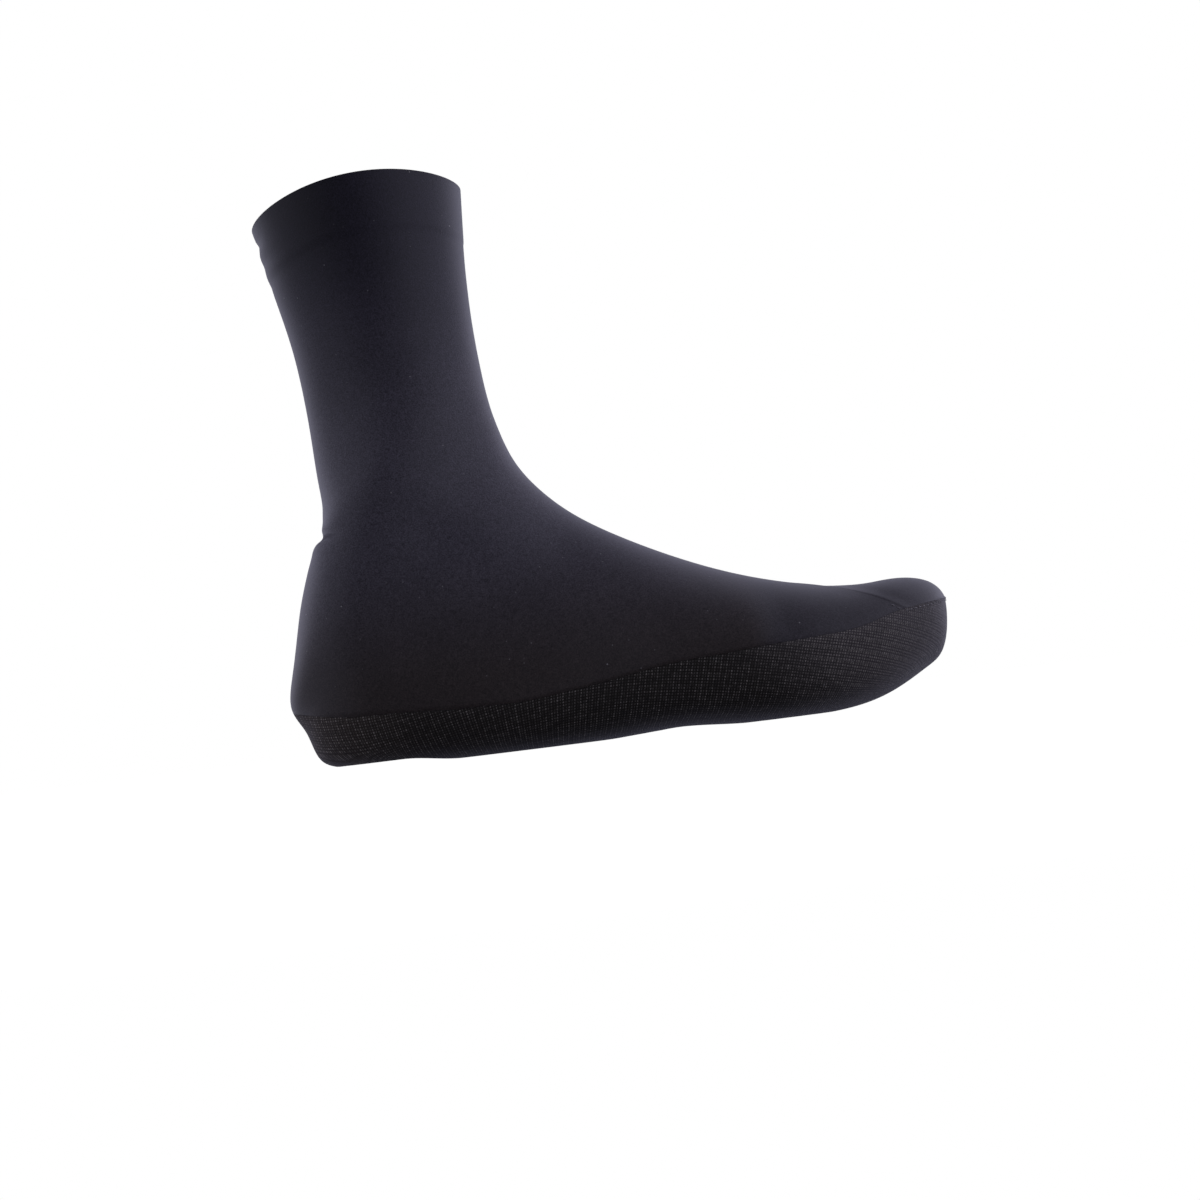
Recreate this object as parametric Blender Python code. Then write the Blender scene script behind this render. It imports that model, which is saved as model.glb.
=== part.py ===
"""Right cycling overshoe in stretch fabric: upper, toe panel, sole wrap and cuff band.

Every piece is cut from one surface, the form of the last with its shaft. The surface is a row of cross
sections from the toe tip to the collar. Each section stands on a line from the tread to the crest of the
foot, fans round the ankle, and lies level at the collar. +X points to the toe, +Y to the inner side of the
foot, +Z up, and the floor is at z = 0.
"""
from collections import namedtuple

import bpy
import numpy as np

# Driving sizes, in metres
LENGTH = 0.285
BALL_WIDTH = 0.104
INSTEP_HEIGHT = 0.100
HEEL_HEIGHT = 0.100
UPPER_WALL = 0.0012
TOE_PANEL_WALL = 0.0012
SOLE_WALL = 0.0016
SEAM_GAP = 0.0003

# Seams of the toe panel, as places in the row of sections and the bend of the V between them
TOE_SEAM_APEX = 6.2
TOE_SEAM_SIDE = 3.4
TOE_SEAM_BEND = 1.15
TOE_SEAM_HALF_GAP = 0.018

# Openings under the foot: middle from the heel, shift to the inner side, length and width
OPENING_RADIUS = 0.010
OPENING_CORNER_STEPS = 6
CUTTER_REACH = 0.012
Opening = namedtuple("Opening", "name middle shift length width")
OPENINGS = (
    Opening("cleat_opening", 0.182, 0.003, 0.052, 0.046),
    Opening("heel_opening", 0.038, 0.000, 0.038, 0.030),
)

# Gripper band inside the collar
CUFF_BAND_DEPTH = 0.0235
CUFF_BAND_WALL = 0.0008
CUFF_EDGE_SETBACK = 0.0006
CUFF_SEARCH_STEPS = 100

# Rows and columns of the faceted walls
TOE_ROWS = 9
FOOT_ROWS = 24
SHAFT_ROWS = 20
UPPER_COLUMNS = 34
SOLE_ROWS = 38
SOLE_COLUMNS = 16
CUFF_ROWS = 3

# Colour and roughness of each piece
Fabric = namedtuple("Fabric", "color roughness")
FABRICS = {
    "upper": Fabric((0.013, 0.012, 0.016), 0.60),
    "toe_panel": Fabric((0.015, 0.014, 0.018), 0.60),
    "sole": Fabric((0.008, 0.007, 0.008), 0.75),
    "cuff_band": Fabric((0.020, 0.020, 0.022), 0.50),
}

PERCENT = 0.01

# One row for each section, from the toe tip to the collar. Along and height are where the section's crest
# and tread ends lie, in percent of the length from the heel and of the instep or heel height. The widths,
# arch and nips are in percent of the ball width: outer and inner are the half widths, sway is the shift of
# the section to the inner side, arch is how far its sides rise out of its plane, and the nips move its tread
# end alone, for the heel's edge and the crease over the heel counter. Widest is how far up the section its
# widest place is, in percent, and the powers say how square its two halves are (2 is an ellipse).
Section = namedtuple(
    "Section",
    "name crest_along crest_height tread_along tread_height outer inner sway widest crest_power tread_power"
    " arch nip_along nip_height",
)
SECTIONS = (
    Section("toe tip", 100.0, 43.6, 99.6, 28.5, 0.0, 0.0, 10.0, 50, 2.0, 2.0, 0.0, 0.0, 0.0),
    Section("toe front", 99.5, 46.2, 98.5, 20.2, 16.5, 14.0, 10.0, 50, 2.0, 2.0, 0.0, 0.0, 0.0),
    Section("toe rise", 97.6, 50.9, 95.8, 13.8, 28.5, 23.5, 9.3, 50, 2.05, 2.05, 0.0, 0.0, 0.0),
    Section("toe bump", 94.2, 53.5, 91.4, 7.2, 38.0, 31.0, 8.4, 48, 2.1, 2.3, 0.0, 0.0, 0.0),
    Section("toe dip", 90.4, 53.5, 86.6, 2.4, 45.0, 37.3, 7.4, 47, 2.15, 2.7, 0.0, 0.0, 0.0),
    Section("toe root", 85.8, 53.1, 81.2, 0.1, 50.3, 42.0, 6.6, 46, 2.2, 3.2, 0.0, 0.0, 0.0),
    Section("ball front", 78.4, 56.2, 74.4, -0.6, 54.6, 44.0, 5.9, 45, 2.15, 3.7, 0.0, 0.0, 0.0),
    Section("ball", 69.6, 63.2, 66.0, -0.2, 55.2, 43.8, 5.3, 42, 2.05, 3.8, 0.0, 0.0, 0.0),
    Section("ball back", 60.9, 73.3, 57.8, 1.3, 52.7, 37.9, 4.7, 38, 1.95, 3.8, 0.0, 0.0, 0.0),
    Section("waist", 52.3, 85.9, 49.3, 0.2, 47.1, 32.2, 3.8, 34, 1.9, 3.7, 0.0, 0.0, 0.0),
    Section("instep", 44.6, 100.5, 40.2, -0.7, 41.3, 29.8, 2.9, 30, 1.9, 3.6, 0.0, 0.0, 0.0),
    Section("instep bend", 39.1, 117.3, 30.4, -0.8, 37.5, 30.8, 1.9, 29, 1.95, 3.5, 0.0, 0.0, 0.0),
    Section("heel front", 36.75, 130.5, 19.8, 0.0, 35.6, 32.2, 1.2, 30, 2.0, 3.45, 0.0, 0.0, 0.0),
    Section("heel tread", 35.79, 139.5, 9.8, 1.8, 34.4, 33.2, 0.6, 33, 2.05, 3.3, 0.0, -4.8, -0.2),
    Section("heel edge", 35.23, 146.0, 4.6, 10.8, 33.8, 33.4, 0.2, 36, 2.08, 2.75, 0.0, -3.5, -3.6),
    Section("heel bevel", 34.91, 151.0, 2.1, 21.0, 33.6, 33.4, 0.0, 39, 2.1, 2.4, 0.0, -0.7, -2.4),
    Section("heel corner", 34.68, 155.5, 0.9, 32.0, 33.4, 33.2, 0.0, 42, 2.11, 2.25, 0.0, -2.5, -2.2),
    Section("heel back", 34.48, 160.5, 1.1, 47.0, 33.1, 33.0, 0.0, 45, 2.11, 2.15, 0.0, -0.2, -0.8),
    Section("counter", 34.30, 166.0, 2.8, 68.5, 32.6, 32.6, 0.0, 47, 2.11, 2.05, 0.0, 0.0, 0.0),
    Section("counter top", 34.13, 172.0, 4.9, 88.5, 31.8, 31.9, 0.0, 48, 2.1, 1.98, 0.0, 0.3, 0.0),
    Section("tendon crease", 33.99, 178.0, 6.6, 105.0, 30.9, 31.1, 0.0, 48, 2.09, 1.93, 0.0, 3.5, 0.0),
    Section("tendon", 33.87, 185.0, 7.4, 125.0, 30.2, 30.5, 0.0, 49, 2.07, 1.9, 0.0, 1.3, 0.0),
    Section("shaft waist", 33.80, 193.0, 7.5, 149.0, 30.1, 30.7, 0.0, 50, 2.04, 1.9, 0.0, 0.0, 0.0),
    Section("shaft", 33.80, 204.5, 6.5, 180.0, 32.1, 32.9, 0.0, 50, 2.01, 1.95, 0.0, 0.0, 0.0),
    Section("shaft flare", 33.97, 220.0, 4.6, 207.0, 35.1, 35.9, 0.0, 50, 2.0, 2.0, 1.0, 0.0, 0.0),
    Section("collar", 34.49, 244.8, 2.5, 236.0, 39.9, 40.4, 0.0, 50, 2.0, 2.0, 5.75, 0.0, 0.0),
)
WIDTH_FIELDS = ("outer", "inner", "sway", "arch", "nip_along", "nip_height")
LAST_ROW = len(SECTIONS) - 1
HEEL_SEARCH = (14.0, 17.0)

# Height of the sole seam, in percent of the heel height, at even steps from the heel to the toe tip
SOLE_SEAM_HEIGHTS = (
    27.5, 24.5, 22.4, 21.9, 21.2, 20.3, 20.1, 19.9, 21.3, 23.0, 25.1, 27.2, 28.5, 29.2, 30.3, 31.2,
    32.0, 33.8, 37.9, 40.2, 42.6,
)

# How fast the nips at the tread end fade round the sides
NIP_FALL = 10.0

# Spring of the heel: how high its flat underside lies, and the places from the heel over which it comes
# down to the floor
HEEL_SPRING = 0.0026
HEEL_SPRING_PLACES = (0.047, 0.072)

# Rows mirrored past the toe tip, so that the surface closes there without a crease
MIRRORED_ROWS = 3
SEARCH_STEPS = 44
DIFFERENCE = 1e-4
NORMAL_ROW_MIN = 0.05
WELD_STEP = 1e-5
WELD_SHIFT = 0.3
SHARP_ANGLE = np.radians(40.0)


def spline_bends(values):
    """Second differences of the natural cubic spline through evenly spaced values."""
    count = len(values)
    matrix = 4.0 * np.eye(count) + np.eye(count, k=1) + np.eye(count, k=-1)
    matrix[[0, -1]] = np.eye(count)[[0, -1]]
    right = np.zeros_like(values)
    right[1:-1] = 6.0 * (values[2:] - 2.0 * values[1:-1] + values[:-2])
    return np.linalg.solve(matrix, right)


def spline(values, bends, place):
    """Value of the spline at each place, where place 0 is the first value and each step is one value on."""
    row = np.clip(np.floor(place).astype(int), 0, len(values) - 2)
    after = place - row
    before = 1.0 - after
    curve = before * values[row] + after * values[row + 1]
    return curve - after * before / 6.0 * ((1.0 + before) * bends[row] + (1.0 + after) * bends[row + 1])


def section_columns():
    """Columns of the section table in metres, with mirrored rows past the toe tip, and their bends."""
    units = dict.fromkeys(Section._fields[1:], 1.0)
    units.update(crest_along=LENGTH * PERCENT, tread_along=LENGTH * PERCENT)
    units.update(crest_height=INSTEP_HEIGHT * PERCENT, tread_height=HEEL_HEIGHT * PERCENT)
    units.update(dict.fromkeys(WIDTH_FIELDS, BALL_WIDTH * PERCENT))
    units.update(widest=PERCENT)
    columns = {}
    for field, unit in units.items():
        values = np.array([getattr(section, field) for section in SECTIONS]) * unit
        sign = -1.0 if field in ("outer", "inner") else 1.0
        values = np.concatenate((sign * values[MIRRORED_ROWS:0:-1], values))
        columns[field] = (values, spline_bends(values))
    return columns


COLUMNS = section_columns()
SEAM_VALUES = np.array(SOLE_SEAM_HEIGHTS) * HEEL_HEIGHT * PERCENT
SEAM_BENDS = spline_bends(SEAM_VALUES)


def column(field, row):
    """One column of the section table, read smoothly at any row."""
    values, bends = COLUMNS[field]
    return spline(values, bends, row + MIRRORED_ROWS)


def tread_floor(x):
    """Height of the flat underside along the foot: the spring of the heel, eased down to the floor."""
    first, last = HEEL_SPRING_PLACES
    share = np.clip((last - LENGTH / 2.0 - x) / (last - first), 0.0, 1.0)
    return HEEL_SPRING * share * share * (3.0 - 2.0 * share)


def last_point(row, angle):
    """Point of the last at a row and an angle round its section: 0 is the crest, +-pi the tread.

    The section is two half superellipses that meet at its widest place. Negative angles are the outer side.
    """
    row, angle = np.broadcast_arrays(row, angle)
    upper = np.cos(angle) > 0.0
    power = np.where(upper, column("crest_power", row), column("tread_power", row))
    reach = (np.abs(np.cos(angle)) ** power + np.abs(np.sin(angle)) ** power) ** (-1.0 / power)
    widest = column("widest", row)
    share = widest + np.where(upper, 1.0 - widest, widest) * np.cos(angle) * reach
    half = np.where(angle < 0.0, column("outer", row), column("inner", row))
    crest_x, tread_x = column("crest_along", row), column("tread_along", row)
    crest_z, tread_z = column("crest_height", row), column("tread_height", row)
    nip = ((1.0 - np.cos(angle)) / 2.0) ** NIP_FALL
    x = tread_x + (crest_x - tread_x) * share + column("nip_along", row) * nip - LENGTH / 2.0
    y = column("sway", row) + half * np.sin(angle) * reach
    z = tread_z + (crest_z - tread_z) * share + column("nip_height", row) * nip
    z = z + column("arch", row) * np.sin(angle) ** 2
    return np.stack((x, y, np.maximum(z, tread_floor(x))), axis=-1)


def outward(row, angle):
    """Unit normal of the last, away from the foot."""
    row, angle = np.broadcast_arrays(np.maximum(row, NORMAL_ROW_MIN), angle)
    along = last_point(row + DIFFERENCE, angle) - last_point(row - DIFFERENCE, angle)
    around = last_point(row, angle + DIFFERENCE) - last_point(row, angle - DIFFERENCE)
    normal = np.cross(around, along)
    return normal / np.linalg.norm(normal, axis=-1, keepdims=True)


def seam_height(x):
    """Height of the sole seam above the floor at a place along the foot."""
    steps = len(SEAM_VALUES) - 1
    return spline(SEAM_VALUES, SEAM_BENDS, np.clip(x / LENGTH + 0.5, 0.0, 1.0) * steps)


def above_seam(row, angle):
    """How far a point of the last lies above the sole seam."""
    point = last_point(row, angle)
    return point[..., 2] - seam_height(point[..., 0])


def seam_angle(row, side, offset):
    """Angle at which each section crosses the sole seam, moved up by an offset, on one side (-1 or +1)."""
    low = np.zeros_like(row)
    high = np.full_like(row, np.pi)
    for _ in range(SEARCH_STEPS):
        middle = (low + high) / 2.0
        over = above_seam(row, side * middle) > offset
        low = np.where(over, middle, low)
        high = np.where(over, high, middle)
    return side * high


def heel_row(offset):
    """Row whose tread end lies on the sole seam at the back of the heel, moved up by an offset."""
    low, high = HEEL_SEARCH
    for _ in range(SEARCH_STEPS):
        middle = (low + high) / 2.0
        over = above_seam(np.array(middle), np.array(np.pi)) > offset
        low, high = (low, middle) if over else (middle, high)
    return high


def toe_seam_row(across):
    """Row of the toe seam at each share of the way across, from the outer to the inner sole seam."""
    sideways = np.abs(2.0 * across - 1.0) ** TOE_SEAM_BEND
    return TOE_SEAM_APEX + (TOE_SEAM_SIDE - TOE_SEAM_APEX) * sideways


def wall(row, angle, outer_lift, inner_lift):
    """Outer and inner skins of a piece, at two distances from the last along its normal."""
    point = last_point(row, angle)
    normal = outward(row, angle)
    return point + outer_lift * normal, point + inner_lift * normal


def grid_faces(labels):
    """Faces of a grid of point labels, without the corners that were welded."""
    quads = np.stack((labels[:-1, :-1], labels[:-1, 1:], labels[1:, 1:], labels[1:, :-1]), axis=-1)
    faces = []
    for quad in quads.reshape(-1, 4).tolist():
        corners = [label for place, label in enumerate(quad) if label != quad[place - 1]]
        if len(set(corners)) == len(corners) > 2:
            faces.append(corners)
    return faces


def solid_wall(name, skins):
    """Closed solid between an outer and an inner skin, with a rim along every free edge."""
    outer, inner = skins
    keys = np.round(outer.reshape(-1, 3) / WELD_STEP + WELD_SHIFT)
    _, first, labels = np.unique(keys, axis=0, return_index=True, return_inverse=True)
    faces = grid_faces(labels.reshape(outer.shape[:2]))
    edges = {(face[place - 1], face[place]) for face in faces for place in range(len(face))}
    count = len(first)
    inside = [[label + count for label in reversed(face)] for face in faces]
    rims = [[b, a, a + count, b + count] for a, b in sorted(edges) if (b, a) not in edges]
    points = np.concatenate((outer.reshape(-1, 3)[first], inner.reshape(-1, 3)[first]))
    mesh = bpy.data.meshes.new(name)
    mesh.from_pydata(points.tolist(), [], faces + inside + rims)
    mesh.materials.append(fabric_material(name))
    mesh.shade_smooth()
    mesh.set_sharp_from_angle(angle=SHARP_ANGLE)
    piece = bpy.data.objects.new(name, mesh)
    bpy.context.collection.objects.link(piece)
    return piece


def fabric_material(name):
    """Plain material in the piece's own colour."""
    color, roughness = FABRICS[name]
    material = bpy.data.materials.new(name)
    material.use_nodes = True
    shader = material.node_tree.nodes["Principled BSDF"]
    shader.inputs["Base Color"].default_value = (*color, 1.0)
    shader.inputs["Roughness"].default_value = roughness
    shader.inputs["Metallic"].default_value = 0.0
    return material


def across_angles(row, across, offset):
    """Angles that run from the outer to the inner sole seam over the crest."""
    outer = seam_angle(row, -1.0, offset)
    return outer + across * (seam_angle(row, 1.0, offset) - outer)


def make_upper():
    """Stretch wall from the toe seam over the instep and round the heel to the collar.

    Towards the heel the columns spread with the seam's own angle, so that they run on evenly up the shaft.
    """
    offset = SEAM_GAP / 2.0
    across = np.linspace(0.0, 1.0, UPPER_COLUMNS + 1)[None, :]
    closing = heel_row(offset)
    even = np.linspace(0.0, 1.0, FOOT_ROWS + 1)[:, None]
    crowded = np.sin(even * np.pi / 2.0)
    foot = even + (crowded - even) * np.abs(2.0 * across - 1.0)
    shaft = np.linspace(0.0, 1.0, SHAFT_ROWS + 1)[1:, None]
    start = toe_seam_row(across) + TOE_SEAM_HALF_GAP
    foot_rows = start + (closing - start) * foot
    shaft_rows = closing + (LAST_ROW - closing) * shaft + 0.0 * across
    row = np.concatenate((foot_rows, shaft_rows))
    angle = np.pi * (2.0 * across - 1.0) + 0.0 * row
    own = across_angles(foot_rows, across, offset)
    edge = across_angles(foot_rows[:, :1], across, offset)
    angle[:FOOT_ROWS] = (own + (edge - own) * even)[:FOOT_ROWS]
    solid_wall("upper", wall(row, angle, 0.0, -UPPER_WALL))


def make_toe_panel():
    """V-shaped panel over the toes, from the toe tip to the toe seam."""
    across = np.linspace(0.0, 1.0, UPPER_COLUMNS + 1)[None, :]
    row = (toe_seam_row(across) - TOE_SEAM_HALF_GAP) * np.linspace(0.0, 1.0, TOE_ROWS + 1)[:, None]
    angle = across_angles(row, across, SEAM_GAP / 2.0)
    solid_wall("toe_panel", wall(row, angle, 0.0, -TOE_PANEL_WALL))


def make_sole():
    """Hard-wearing wrap under the foot, from seam to seam, with its openings cut through."""
    offset = -SEAM_GAP / 2.0
    across = np.linspace(0.0, 1.0, SOLE_COLUMNS + 1)[None, :]
    closing = heel_row(offset)
    row = closing * np.sin(np.linspace(0.0, np.pi / 2.0, SOLE_ROWS + 1))[:, None] + 0.0 * across
    inner = seam_angle(row, 1.0, offset)
    outer = seam_angle(row, -1.0, offset)
    angle = inner + across * (2.0 * np.pi + outer - inner)
    angle = np.where(angle > np.pi, angle - 2.0 * np.pi, angle)
    sole = solid_wall("sole", wall(row, angle, 0.0, -SOLE_WALL))
    for opening in OPENINGS:
        cut = sole.modifiers.new(opening.name, "BOOLEAN")
        cut.operation = "DIFFERENCE"
        cut.solver = "EXACT"
        cut.object = opening_cutter(opening)


def opening_cutter(opening):
    """Upright prism with rounded corners that cuts one opening through the sole."""
    turn = np.linspace(0.0, np.pi / 2.0, OPENING_CORNER_STEPS + 1)
    corner_x = opening.length / 2.0 - OPENING_RADIUS
    corner_y = opening.width / 2.0 - OPENING_RADIUS
    outline = []
    for quarter, (side_x, side_y) in enumerate(((1, 1), (-1, 1), (-1, -1), (1, -1))):
        spin = turn + quarter * np.pi / 2.0
        x = side_x * corner_x + OPENING_RADIUS * np.cos(spin) + opening.middle - LENGTH / 2.0
        y = side_y * corner_y + OPENING_RADIUS * np.sin(spin) + opening.shift
        outline.append(np.stack((x, y), axis=-1))
    outline = np.concatenate(outline)
    count = len(outline)
    low = np.column_stack((outline, np.full(count, -CUTTER_REACH)))
    high = np.column_stack((outline, np.full(count, CUTTER_REACH)))
    sides = [[i, (i + 1) % count, (i + 1) % count + count, i + count] for i in range(count)]
    caps = [list(range(count))[::-1], list(range(count, 2 * count))]
    mesh = bpy.data.meshes.new(opening.name)
    mesh.from_pydata(np.concatenate((low, high)).tolist(), [], sides + caps)
    cutter = bpy.data.objects.new(opening.name, mesh)
    cutter.hide_render = True
    cutter.display_type = "WIRE"
    bpy.context.collection.objects.link(cutter)
    return cutter


def make_cuff_band():
    """Gripper band inside the collar."""
    across = np.linspace(0.0, 1.0, UPPER_COLUMNS + 1)[None, :]
    shaft = LAST_ROW - 1.0 + np.linspace(0.0, 1.0, CUFF_SEARCH_STEPS + 1)
    back_height = last_point(shaft, np.full_like(shaft, np.pi))[:, 2]
    low = np.interp(back_height[-1] - CUFF_BAND_DEPTH, back_height, shaft)
    high = np.interp(back_height[-1] - CUFF_EDGE_SETBACK, back_height, shaft)
    row = np.linspace(low, high, CUFF_ROWS + 1)[:, None] + 0.0 * across
    angle = np.pi * (2.0 * across - 1.0) + 0.0 * row
    outer_lift = -UPPER_WALL - SEAM_GAP
    skins = wall(row, angle, outer_lift, outer_lift - CUFF_BAND_WALL)
    solid_wall("cuff_band", skins)


def main():
    """Build every piece of the overshoe in an empty scene."""
    for leftover in list(bpy.data.objects):
        bpy.data.objects.remove(leftover)
    make_upper()
    make_toe_panel()
    make_sole()
    make_cuff_band()


main()
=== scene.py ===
"""Looks of a black cycling overshoe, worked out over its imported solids.

Every piece is cut from one surface, the form of the last with its shaft: a row of cross sections from the
toe tip to the collar. A place on it is a row of the section table and an angle round that section, where 0
is the crest, and pi or -pi the tread or the back. +X points to the toe, +Y to the inner side of the foot and
+Z up, in metres. The soft folds of the fabric are added along the surface's normal.
"""

from collections import namedtuple

import bpy
import numpy as np
from mathutils import Matrix


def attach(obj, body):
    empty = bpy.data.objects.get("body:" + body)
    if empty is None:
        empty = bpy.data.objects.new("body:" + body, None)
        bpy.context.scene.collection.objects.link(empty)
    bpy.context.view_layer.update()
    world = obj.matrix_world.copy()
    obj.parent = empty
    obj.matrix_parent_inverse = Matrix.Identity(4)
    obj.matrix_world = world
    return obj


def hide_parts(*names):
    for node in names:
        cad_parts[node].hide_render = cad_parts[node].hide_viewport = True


bl_info = {
    "name": "Cycling overshoe",
    "version": (1, 0, 0),
    "blender": (4, 5, 0),
    "location": "3D View > Sidebar > Overshoe",
    "description": "Builds the fabric pieces of a cycling overshoe over its packed solids",
    "category": "Object",
}

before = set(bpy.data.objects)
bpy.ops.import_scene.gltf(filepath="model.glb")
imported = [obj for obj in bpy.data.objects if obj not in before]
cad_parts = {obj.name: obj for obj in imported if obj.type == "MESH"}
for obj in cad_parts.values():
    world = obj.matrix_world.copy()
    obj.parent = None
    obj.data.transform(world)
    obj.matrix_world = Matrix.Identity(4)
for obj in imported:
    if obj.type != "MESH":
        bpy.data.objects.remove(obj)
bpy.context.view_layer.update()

# Units, and the form of the last in metres, as in the solids
MM = 0.001
PERCENT = 0.01
LENGTH = 0.285
BALL_WIDTH = 0.104
INSTEP_HEIGHT = 0.100
HEEL_HEIGHT = 0.100
SEAM_GAP = 0.0001

# Seams of the toe panel: the rows of the V's point and of its ends, its bend, half its gap in rows, the
# metres for each row there, and how far and in how many rows the panel's edge is turned under
TOE_SEAM_APEX = 6.2
TOE_SEAM_SIDE = 3.4
TOE_SEAM_BEND = 1.15
TOE_SEAM_HALF_GAP = 0.018
TOE_SEAM_ROW_PITCH = 0.017
TOE_LAP = 0.15
TOE_LAP_ROWS = 5

# Openings under the foot: middle from the heel, shift to the inner side, length and width
OPENING_RADIUS = 0.010
OPENING_CORNER_STEPS = 12
CUTTER_REACH = 0.012
Opening = namedtuple("Opening", "name middle shift length width")
OPENINGS = (
    Opening("cleat_opening", 0.182, 0.003, 0.052, 0.046),
    Opening("heel_opening", 0.038, 0.000, 0.038, 0.030),
)

# One row for each section, from the toe tip to the collar. Along and height are where the section's crest
# and tread ends lie, in percent of the length from the heel and of the instep or heel height. The widths,
# arch and nips are in percent of the ball width: outer and inner are the half widths, sway is the shift of
# the section to the inner side, arch is how far its sides rise out of its plane, and the nips move its tread
# end alone, for the heel's edge and the crease over the heel counter. Widest is how far up the section its
# widest place is, in percent, and the powers say how square its two halves are (2 is an ellipse).
Section = namedtuple(
    "Section",
    "name crest_along crest_height tread_along tread_height outer inner sway widest crest_power tread_power"
    " arch nip_along nip_height",
)
SECTIONS = (
    Section("toe tip", 100.0, 43.6, 99.6, 28.5, 0.0, 0.0, 10.0, 50, 2.0, 2.0, 0.0, 0.0, 0.0),
    Section("toe front", 99.5, 46.2, 98.5, 20.2, 16.5, 14.0, 10.0, 50, 2.0, 2.0, 0.0, 0.0, 0.0),
    Section("toe rise", 97.6, 50.9, 95.8, 13.8, 28.5, 23.5, 9.3, 50, 2.05, 2.05, 0.0, 0.0, 0.0),
    Section("toe bump", 94.2, 53.5, 91.4, 7.2, 38.0, 31.0, 8.4, 48, 2.1, 2.3, 0.0, 0.0, 0.0),
    Section("toe dip", 90.4, 53.5, 86.6, 2.4, 45.0, 37.3, 7.4, 47, 2.15, 2.7, 0.0, 0.0, 0.0),
    Section("toe root", 85.8, 53.1, 81.2, 0.1, 50.3, 42.0, 6.6, 46, 2.2, 3.2, 0.0, 0.0, 0.0),
    Section("ball front", 78.4, 56.2, 74.4, -0.6, 54.6, 44.0, 5.9, 45, 2.15, 3.7, 0.0, 0.0, 0.0),
    Section("ball", 69.6, 63.2, 66.0, -0.2, 55.2, 43.8, 5.3, 42, 2.05, 3.8, 0.0, 0.0, 0.0),
    Section("ball back", 60.9, 73.3, 57.8, 1.3, 52.7, 37.9, 4.7, 38, 1.95, 3.8, 0.0, 0.0, 0.0),
    Section("waist", 52.3, 85.9, 49.3, 0.2, 47.1, 32.2, 3.8, 34, 1.9, 3.7, 0.0, 0.0, 0.0),
    Section("instep", 44.6, 100.5, 40.2, -0.7, 41.3, 29.8, 2.9, 30, 1.9, 3.6, 0.0, 0.0, 0.0),
    Section("instep bend", 39.1, 117.3, 30.4, -0.8, 37.5, 30.8, 1.9, 29, 1.95, 3.5, 0.0, 0.0, 0.0),
    Section("heel front", 36.75, 130.5, 19.8, 0.0, 35.6, 32.2, 1.2, 30, 2.0, 3.45, 0.0, 0.0, 0.0),
    Section("heel tread", 35.79, 139.5, 9.8, 1.8, 34.4, 33.2, 0.6, 33, 2.05, 3.3, 0.0, -4.8, -0.2),
    Section("heel edge", 35.23, 146.0, 4.6, 10.8, 33.8, 33.4, 0.2, 36, 2.08, 2.75, 0.0, -3.5, -3.6),
    Section("heel bevel", 34.91, 151.0, 2.1, 21.0, 33.6, 33.4, 0.0, 39, 2.1, 2.4, 0.0, -0.7, -2.4),
    Section("heel corner", 34.68, 155.5, 0.9, 32.0, 33.4, 33.2, 0.0, 42, 2.11, 2.25, 0.0, -2.5, -2.2),
    Section("heel back", 34.48, 160.5, 1.1, 47.0, 33.1, 33.0, 0.0, 45, 2.11, 2.15, 0.0, -0.2, -0.8),
    Section("counter", 34.30, 166.0, 2.8, 68.5, 32.6, 32.6, 0.0, 47, 2.11, 2.05, 0.0, 0.0, 0.0),
    Section("counter top", 34.13, 172.0, 4.9, 88.5, 31.8, 31.9, 0.0, 48, 2.1, 1.98, 0.0, 0.3, 0.0),
    Section("tendon crease", 33.99, 178.0, 6.6, 105.0, 30.9, 31.1, 0.0, 48, 2.09, 1.93, 0.0, 3.5, 0.0),
    Section("tendon", 33.87, 185.0, 7.4, 125.0, 30.2, 30.5, 0.0, 49, 2.07, 1.9, 0.0, 1.3, 0.0),
    Section("shaft waist", 33.80, 193.0, 7.5, 149.0, 30.1, 30.7, 0.0, 50, 2.04, 1.9, 0.0, 0.0, 0.0),
    Section("shaft", 33.80, 204.5, 6.5, 180.0, 32.1, 32.9, 0.0, 50, 2.01, 1.95, 0.0, 0.0, 0.0),
    Section("shaft flare", 33.97, 220.0, 4.6, 207.0, 35.1, 35.9, 0.0, 50, 2.0, 2.0, 1.0, 0.0, 0.0),
    Section("collar", 34.49, 244.8, 2.5, 236.0, 39.9, 40.4, 0.0, 50, 2.0, 2.0, 5.75, 0.0, 0.0),
)
WIDTH_FIELDS = ("outer", "inner", "sway", "arch", "nip_along", "nip_height")
LAST_ROW = len(SECTIONS) - 1

# Rows between which the sole seam closes at the back of the heel
HEEL_SEARCH = (14.0, 17.0)

# Height of the sole seam, in percent of the heel height, at even steps from the heel to the toe tip
SOLE_SEAM_HEIGHTS = (
    27.5, 24.5, 22.4, 21.9, 21.2, 20.3, 20.1, 19.9, 21.3, 23.0, 25.1, 27.2, 28.5, 29.2, 30.3, 31.2,
    32.0, 33.8, 37.9, 40.2, 42.6,
)

# How fast the nips at the tread end fade round the sides
NIP_FALL = 10.0

# Spring of the heel: how high its flat underside lies, and the places from the heel over which it comes
# down to the floor
HEEL_SPRING = 0.0026
HEEL_SPRING_PLACES = (0.047, 0.072)

# Rows mirrored past the toe tip, so that the surface closes there without a crease
MIRRORED_ROWS = 3

# Halvings in each search, the step of small differences, and the lowest row where a normal is taken
SEARCH_STEPS = 36
DIFFERENCE = 1e-4
NORMAL_ROW_MIN = 0.05

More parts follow.
